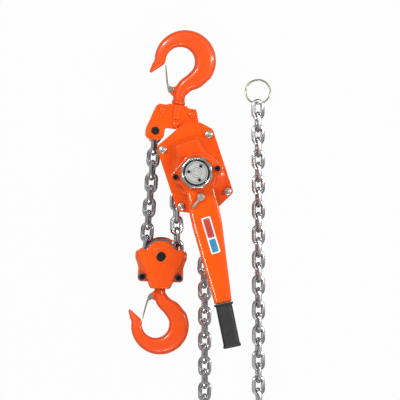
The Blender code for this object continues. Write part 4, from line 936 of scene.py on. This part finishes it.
def round_box(s, wide, deep, corner):
    """A point and outward direction at a length s round a rounded rectangle."""
    sides = ((wide - corner, -deep, 1, 0), (wide, deep - corner, 0, 1),
             (corner - wide, deep, -1, 0), (-wide, corner - deep, 0, -1))
    arc = corner * math.pi / 2
    for ex, ey, dx, dy in sides:
        run = 2 * (wide - corner) if dx else 2 * (deep - corner)
        if s <= run:
            return ex - dx * (run - s), ey - dy * (run - s), dy, -dx
        s -= run
        if s <= arc:
            a = s / corner
            cx, cy = ex - dy * corner, ey + dx * corner
            nx = dy * math.cos(a) + dx * math.sin(a)
            ny = -dx * math.cos(a) + dy * math.sin(a)
            return cx + nx * corner, cy + ny * corner, nx, ny
        s -= arc
    return sides[0][0] - 2 * (wide - corner), -deep, 0, -1


def selector():
    place = LEVER @ Matrix.Translation((-1.2, -55.3, 0)) @ turned(-49)
    seat = 146.6
    head = spin([(4, seat - 12), (4, seat - 0.5), (7.6, seat - 0.4), (8.2, seat + 0.4),
                 (8.2, seat + 5), (7.7, seat + 5.6), (7, seat + 5.9)], 40)
    bar = prism([(-2.7, -26, 2), (2.7, -26, 2), (2.9, -4, 1), (-2.9, -4, 1)],
                edge(seat + 1.6, seat + 4.4, 0.6, 0.6))
    piece("selector_head", "selector", "grey", place, [head, bar], ["selector_knob"])
    tip = prism([(-3.4, -31.6, 2.4), (3.4, -31.6, 2.4), (3.0, -23, 1.2), (-3.0, -23, 1.2)],
                edge(seat + 1.2, seat + 4.9, 0.6, 0.8))
    piece("selector_tip", "selector", "bronze", place, tip)


def hand_wheel():
    """A cup with eight lobes, and a disc with rings and screws in its mouth."""
    base, top = 147.8, 182.1
    steps, lobes, first_lobe = 128, 8, math.radians(22.5)

    def ring(z, radius, wave):
        found = []
        for k in range(steps):
            a = math.tau * k / steps
            r = radius + wave * math.cos(lobes * (a - first_lobe))
            found.append((r * math.cos(a), r * math.sin(a), z))
        return found

    cup = [ring(z, radius, wave) for z, radius, wave in (
        (base, 30, 0), (base, 34, 0.8), (base + 1.0, 35.6, 1.2), (base + 3, 36.2, 1.5),
        (top - 9, 36.2, 1.5), (top - 4, 35.8, 1.4), (top - 1.4, 35.0, 1.0), (top - 0.3, 34.0, 0.6),
        (top, 33.0, 0.3), (top - 0.3, 31.6, 0), (top - 1.2, 30.6, 0), (top - 4, 30.0, 0),
        (top - 11, 29.4, 0), (top - 13.2, 28.4, 0), (top - 14, 26.6, 0))]
    sleeve = spin([(9.5, 133.5), (18, 133.5), (18, base + 1), (9.5, base + 1)], 40, closed=True)
    piece("wheel_cup", "input_shaft", "chrome", WHEEL, [loft(cup), sleeve], ["hand_wheel"],
          angle=40)
    seat = top - 13.8
    disc = spin([(26, seat), (26, seat + 1.6), (25.4, seat + 2.3), (23.6, seat + 2.3),
                 (23.0, seat + 1.7), (21.6, seat + 1.7), (20.8, seat + 2.5), (12.4, seat + 2.5),
                 (12.0, seat + 3.1), (10.2, seat + 3.1), (9.8, seat + 2.5), (7.4, seat + 2.5),
                 (7.0, seat + 3.2), (5.4, seat + 3.2), (5.0, seat + 2.5), (1, seat + 2.5)], 64)
    piece("wheel_face", "input_shaft", "disc", WHEEL, disc, ["wheel_disc"])
    gap, *rings = [spin([(r, z), (r + w, z), (r + w, z + 0.4), (r, z + 0.4)], 64, closed=True)
                   for r, w, z in ((26.1, 2.0, seat + 0.4), (21.7, 1.2, seat + 1.5),
                                   (10.3, 1.7, seat + 2.9), (5.5, 1.4, seat + 3.0))]
    piece("wheel_rings", "input_shaft", "grey", WHEEL, rings)
    piece("wheel_shadow_gap", "input_shaft", "black", WHEEL, gap)
    for i, degrees in enumerate((57, 173, 292), 1):
        a = math.radians(degrees)
        screw = socket_screw(3.5, seat + 2.2, seat + 5.2, 3.0, 2.2, 17.4 * math.cos(a),
                             17.4 * math.sin(a))
        piece(f"wheel_screw_{i}", "input_shaft", "black", WHEEL, screw)


# Hook block

BLOCK_BASE = ((21, -72.5, 7), (25, -67, 5), (28, -57, 5), (52, -57, 9), (50.5, -27, 9),
              (59, 3, 14), (49, 20.5, 7), (36, 15, 6))
SHIELD_FACE = ((18, -71.5, 7), (24, -63, 6), (29, -46, 12), (37.5, -27, 16), (49, -5, 14),
               (51, 9, 8), (47.5, 18.5, 6), (35.5, 14.5, 6))
SHIELD_FOOT = ((21, -72.5, 7), (25.5, -66, 5), (31.5, -50, 10), (46, -30, 16), (58, -6, 14),
               (58.5, 8, 8), (49, 20.5, 7), (36, 15, 6))


LUG_X, LUG_Y = 41, -46.5


def arch(radius, first):
    """The right side of a round top about the axle."""
    turns = [math.radians(first + (78 - first) * k / 3) for k in range(4)]
    return [(radius * math.cos(a), radius * math.sin(a), 0.6 * radius) for a in turns]


def block_shell(name, side, radius, first):
    """Half of the block: a base, a shield on it, and the hollow that the idler turns in."""
    top = arch(radius, first)
    lower = mirrored(BLOCK_BASE, *top)
    foot = mirrored(SHIELD_FOOT, *top)
    face = mirrored(SHIELD_FACE, *arch(radius - 1, first))
    base = prism(lower, [(side * z, d) for z, d in [(0.15, 0), *edge(1, 22.5, 0, 1.6)]], 8)
    rings = []
    for z, share, d in ((16, 0, -0.1), (24, 0.0, -0.1), (29, 0.32, -0.1), (33.5, 0.72, 0.0),
                        (36, 0.93, 0.1), (37.2, 1, -0.5), (37.8, 1, -1.6)):
        corners = offset(between(foot, face, share), d)
        rings.append([(x, y, side * z) for x, y in outline(corners, 8)])
    shell = combined(base, "UNION", loft(rings))
    tools = [spin([(53.3, -side * 2), (53.3, side * 17.5), (43, side * 23), (41, side * 33)], 64),
             loft([[(-53, -2, z), (53, -2, z), (53, 70, z), (-53, 70, z)]
                   for z in (-side * 2, side * 33)]),
             spin([(11.05, side * 20), (11.05, side * 50)], 40),
             along_y(moved(spin([(13.8, -30), (13.8, 20)], 40),
                           Matrix.Translation((0, 0, -72))))]
    for x in (-LUG_X, LUG_X):
        tools.append(spin([(9.6, side * 21.2), (9.6, side * 50)], 32, centre=(x, LUG_Y)))
    piece(f"block_{name}", "block", "paint", BLOCK, cut(shell, *tools), [f"block_{name}_shell"],
          angle=38)


def block():
    block_shell("front", 1, 37.2, 32)
    block_shell("rear", -1, 45.6, 26)
    axle = spin([(9.8, -37.6), (10.6, -37), (10.6, 37.2), (10.2, 37.8), (9.4, 38.1), (8.8, 38.1),
                 (8.6, 37.4), (1.0, 37.4)], 48)
    piece("axle_pin", "block", "black", BLOCK, axle, ["block_axle"])
    rim = spin([(10.9, 36.5), (12.1, 36.5), (12.1, 38.05), (11.8, 38.3), (11.1, 38.3),
                (10.9, 38.0)], 48, closed=True)
    groove = spin([(20.6, 36.6), (21.6, 36.6), (21.6, 37.95), (21.3, 38.1), (20.9, 38.1),
                   (20.6, 37.95)], 64, closed=True)
    piece("axle_rim", "block", "paint", BLOCK, [rim, groove])
    for name, x in (("left", -LUG_X), ("right", LUG_X)):
        washer = spin([(5.2, 21.3), (9.2, 21.3), (9.4, 22.0), (9.0, 23.2), (5.2, 23.2)], 36,
                      closed=True, centre=(x, LUG_Y))
        head = socket_screw(7.3, 23.0, 30.6, 7.0, 5.5, x, LUG_Y)
        collar = spin([(7.4, 23), (8.4, 23), (8.4, 28.6), (7.4, 29.4)], 36, closed=True,
                      centre=(x, LUG_Y))
        piece(f"lug_washer_{name}", "block", "zinc", BLOCK, [washer, collar])
        nut = prism([(px, py, 1) for px, py in hexagon(13, x, LUG_Y)],
                    edge(-29, -21.3, 1.2, 0), 3)
        body = spin([(5, -22), (5, 24)], 20, centre=(x, LUG_Y))
        piece(f"lug_bolt_{name}", "block", "black", BLOCK, [head, nut, body],
              [f"block_bolt_{name}"])


# CAD nodes that keep their shape

KEPT = {
    "steel": ("load_sheave", "load_gear", "disc_gear_1", "disc_gear_2", "pinion_shaft",
              "friction_hub", "change_gear", "ratchet_disc", "pawl_1", "pawl_2", "drive_pawl",
              "sheave_bearing_back", "sheave_bearing_front", "stay_left", "stay_right",
              "stay_lower", "chain_stripper", "yoke_pin", "idler_sheave"),
    "lining": ("friction_disc_1", "friction_disc_2"),
    "paint": ("gear_side_plate", "ratchet_side_plate"),
}


def kept_nodes():
    for look, names in KEPT.items():
        for name in names:
            obj = frame["nodes"][name]
            obj.data.materials.clear()
            obj.data.materials.append(LOOKS[look])


stage()
chain()
hook("top_hook", "top_hook", YOKE, -33.3)
latch("top_latch", "top_latch", YOKE)
hook("bottom_hook", "bottom_hook", LOW_HOOK, -7.0)
latch("bottom_latch", "bottom_latch", LOW_HOOK)
yoke()
housing()
cover_nuts()
lever()
selector()
hand_wheel()
block()
kept_nodes()
